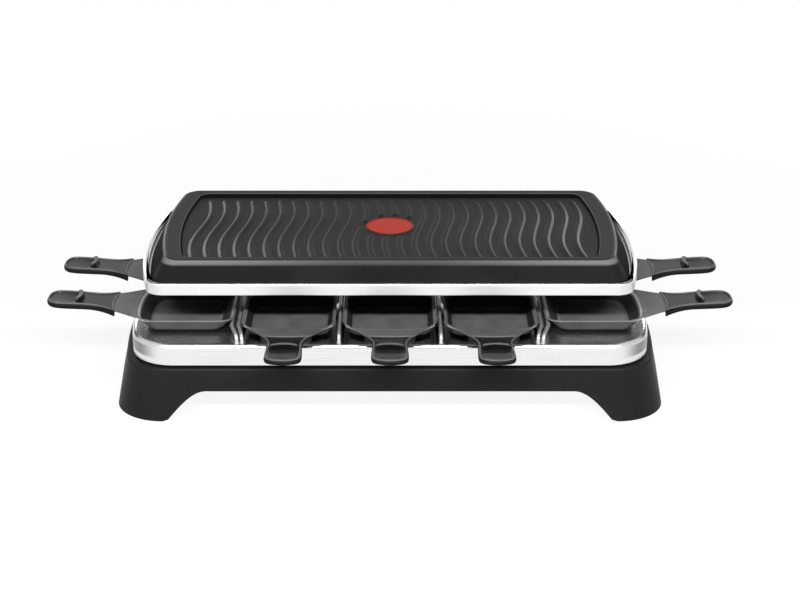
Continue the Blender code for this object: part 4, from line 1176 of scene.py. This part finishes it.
class BuildPlate(bpy.types.Operator):
    """Cast grill plate with its wavy ribs and the red disc"""
    bl_idname = "grill.build_plate"
    bl_label = "Grill plate"

    def execute(self, context):
        sizes = context.scene.grill_sizes
        low, high = span("grill_plate")
        recess = (high.x - PLATE.rim_end, high.y - PLATE.rim_side, PLATE.bulge, PLATE.corner)
        top = high.z
        floor = top - PLATE.floor_depth
        draft, run, wall, slope = PLATE.draft, PLATE.shoulder_run, PLATE.wall, PLATE.slope
        drop = sizes.plate_shoulder

        def ring(inset, z):
            """The plate's outline at a height; the ends lean in more than the long sides."""
            share = (z - low.z) / (top - low.z)
            last = min(1.0, max(0.0, (share - 1 + END_ROUND_SHARE) / END_ROUND_SHARE))
            rounding = PLATE.end_round * (1 - sqrt(1 - last ** 2))
            lean = PLATE.end_lean * share + rounding - min(inset, draft + run)
            bulge = PLATE.bulge + PLATE.top_bulge * share
            corner = PLATE.corner + PLATE.top_corner * share
            return level(barrel(high.x - lean, high.y, bulge, corner, inset), z)

        bowl = eased([(10 * MM, floor, 0), (slope, floor, 1.6 * MM), (0.0, top, 1.0 * MM), (-slope, top, 0)])
        rings = [level(barrel(*recess, inset), z) for inset, z in bowl]
        rings.append(ring(draft + run + PLATE.lip, top))
        for step in range(11):
            angle = pi / 2 * step / 10
            rings.append(ring(draft + run * (1 - sin(angle)), top - drop * (1 - cos(angle))))
        for part in (0.35, 0.7, 0.9):
            rings.append(ring(draft * (1 - part), top - drop - (top - drop - low.z) * part))
        foot = eased([(0.0, low.z + draft, 0), (0.0, low.z, 0.8 * MM), (wall, low.z, 0)], 4)
        rings += [ring(inset, z) for inset, z in foot]
        under = barrel(high.x - PLATE.under_lean, high.y, PLATE.bulge, PLATE.corner, wall + draft)
        rings.append(level(under, floor - PLATE.floor_thickness))
        mesh = skin("plate_body", [rings])
        mesh.materials.append(finish_of("non_stick_edge"))
        add_piece("plate_body", mesh, "non_stick", "grill_plate", "grill_plate")
        self.build_ribs(sizes, floor)
        self.build_spot()
        return {"FINISHED"}

    def build_ribs(self, sizes, floor):
        """Rounded wavy ridges that stop short of the disc."""
        bodies = []
        for index in range(RIB_COUNT):
            middle = (index - (RIB_COUNT - 1) / 2) * sizes.rib_pitch
            runs = [[]]
            for step in range(RIB_STEPS + 1):
                share = step / RIB_STEPS
                y = PLATE.rib_front + (PLATE.rib_back - PLATE.rib_front) * share
                point = Vector((middle - sizes.rib_wave * sin(2 * pi * share), y))
                if point.length >= PLATE.spot_clear:
                    runs[-1].append(point)
                elif runs[-1]:
                    runs.append([])
            bodies += [self.ridge(run, sizes, floor) for run in runs if len(run) > 4]
        add_piece("plate_ribs", skin("plate_ribs", bodies), "non_stick", "grill_plate", "grill_plate",
                  weighted=False)

    def ridge(self, run, sizes, floor):
        """Rings of one ridge along its line, rounded down at both ends."""
        rows = []
        start = PLATE.front_end if run[0].y < PLATE.rib_front + PLATE.rib_end else PLATE.rib_end
        back = PLATE.back_end if run[-1].y > PLATE.rib_back - PLATE.rib_end else PLATE.rib_end
        lengths = [0.0]
        for a, b in zip(run, run[1:]):
            lengths.append(lengths[-1] + (b - a).length)
        for index, point in enumerate(run):
            before, after = neighbours(run, index)
            along = (after - before).normalized()
            across = Vector((along.y, -along.x))
            fall = smoothed(min(lengths[index] / start, (lengths[-1] - lengths[index]) / back))
            half = sizes.rib_width / 2 * (0.60 + 0.40 * fall)
            row = []
            for share in RIB_ACROSS:
                lift = (0.5 + 0.5 * cos(pi * share)) ** 0.85
                place = point + across * (half * share)
                rise = (sizes.rib_height + PLATE.rib_root) * lift * fall
                row.append((*place, floor - PLATE.rib_root + rise))
            rows.append(row + [(*point, floor - PLATE.rib_foot)])
        return rows

    def build_spot(self):
        low, high = span("heat_spot")
        radius, top = high.x, high.z
        line = [(0.2 * MM, top - 0.3 * MM, 0), (radius - 3 * MM, top - 0.3 * MM, MM),
                (radius - 1.4 * MM, top, 0.8 * MM), (radius, top - 0.1 * MM, 0.5 * MM), (radius, low.z, 0)]
        add_piece("spot_disc", skin("spot_disc", [turned(eased(line, 4), 96)]), "red_spot", "grill_plate",
                  "heat_spot")


# Stage

# What the lamps point at, and how far the floor reaches to each side
AIM = Vector((0.0, 0.0, 0.08))
FLOOR_REACH = 6.0
WHITE = (1.0, 1.0, 1.0)
# Place, width, height and power of each soft box
LAMPS = {
    "key_front": ((0.0, -1.30, 0.995), 1.3, 0.08, 54.0),
    "strip_top": ((0.0, -0.42, 1.20), 1.4, 0.10, 2.5),
    "strip_back_left": ((-0.64, 1.0, 0.42), 0.14, 0.4, 1.9),
    "strip_back_right": ((0.64, 1.0, 0.42), 0.14, 0.4, 1.9),
}


class BuildStage(bpy.types.Operator):
    """Pale floor, soft light and the camera"""
    bl_idname = "grill.build_stage"
    bl_label = "Stage"

    def execute(self, context):
        stage = context.scene.grill_stage
        self.build_floor()
        self.build_world(context.scene)
        for name, (place, width, height, power) in LAMPS.items():
            data = bpy.data.lights.new(name, "AREA")
            data.shape = "RECTANGLE"
            data.size = width
            data.size_y = height
            data.energy = power * stage.lamp
            item = new_object(name, data)
            item.location = place
            item.rotation_euler = (AIM - Vector(place)).to_track_quat("-Z", "Y").to_euler()
            item.visible_camera = False
        self.build_camera(context.scene, stage)
        context.scene.view_settings.view_transform = "Standard"
        return {"FINISHED"}

    def build_floor(self):
        """White to the camera and grey to the light that the grill receives from below."""
        form = bmesh.new()
        bmesh.ops.create_grid(form, x_segments=1, y_segments=1, size=FLOOR_REACH)
        made = Finish("floor_white")
        grey, pale = [made.node("ShaderNodeBsdfDiffuse", None, {"Color": (tone,) * 3})
                      for tone in (0.45, 0.82)]
        glow = made.node("ShaderNodeEmission", None, {"Color": WHITE, "Strength": 1.0})
        lit = 0.90 + made.away().between(0.5, 1.1) * 0.10
        bright = made.node("ShaderNodeMixShader", None, {0: lit, 1: pale, 2: glow})
        mixed = made.node("ShaderNodeMixShader", None, {0: made.seen_directly(), 1: grey, 2: bright})
        floor = new_object("floor", mesh_of(form, "floor"))
        floor.data.materials.append(made.close(mixed))

    def build_world(self, scene):
        """White to the camera, a little darker overhead in reflections, and dim as a light."""
        scene.world = bpy.data.worlds.new("studio")
        made = Finish("studio", scene.world)
        z = made.split(made.node("ShaderNodeTexCoord").out("Generated"))[2]
        glossy = made.node("ShaderNodeLightPath").out("Is Glossy Ray")
        ceiling = 1.0 - z.between(0.04, 0.36) * glossy * 0.30
        dim, white = [made.node("ShaderNodeBackground", None, {"Color": WHITE, "Strength": strength})
                      for strength in (0.16, ceiling)]
        made.close(made.node("ShaderNodeMixShader", None, {0: made.seen_directly(), 1: dim, 2: white}))

    def build_camera(self, scene, stage):
        data = bpy.data.cameras.new("camera")
        data.lens = stage.lens
        data.sensor_width = 36.0
        data.shift_x = stage.shift
        data.clip_start = 0.05
        camera = new_object("camera", data)
        away = Vector((0.0, -cos(stage.elevation), sin(stage.elevation)))
        camera.location = Vector((0.0, 0.0, stage.target_height)) + away * stage.distance
        camera.rotation_euler = (-away).to_track_quat("-Z", "Y").to_euler()
        scene.camera = camera


OPERATORS = (BuildStage, BuildBase, BuildDeck, BuildRails, BuildPans, BuildHeater, BuildPlate)
GROUPS = (("grill_sizes", GrillSizes), ("grill_colours", GrillColours), ("grill_stage", GrillStage))


class GrillPanel(bpy.types.Panel):
    """Lists the pieces and their sizes"""
    bl_idname = "VIEW3D_PT_raclette_grill"
    bl_label = "Raclette grill"
    bl_space_type = "VIEW_3D"
    bl_region_type = "UI"
    bl_category = "Raclette grill"

    def draw(self, context):
        for operator in OPERATORS:
            self.layout.operator(operator.bl_idname)
        for name, group in GROUPS:
            box = self.layout.box()
            for prop in group.__annotations__:
                box.prop(getattr(context.scene, name), prop)


CLASSES = (*[group for _, group in GROUPS], *OPERATORS, GrillPanel)


def register():
    for kind in CLASSES:
        bpy.utils.register_class(kind)
    for name, group in GROUPS:
        setattr(bpy.types.Scene, name, PointerProperty(type=group))


def unregister():
    for name, _ in GROUPS:
        delattr(bpy.types.Scene, name)
    for kind in reversed(CLASSES):
        bpy.utils.unregister_class(kind)


def main():
    register()
    for operator in OPERATORS:
        group, name = operator.bl_idname.split(".")
        getattr(getattr(bpy.ops, group), name)()


if __name__ == "__main__":
    main()
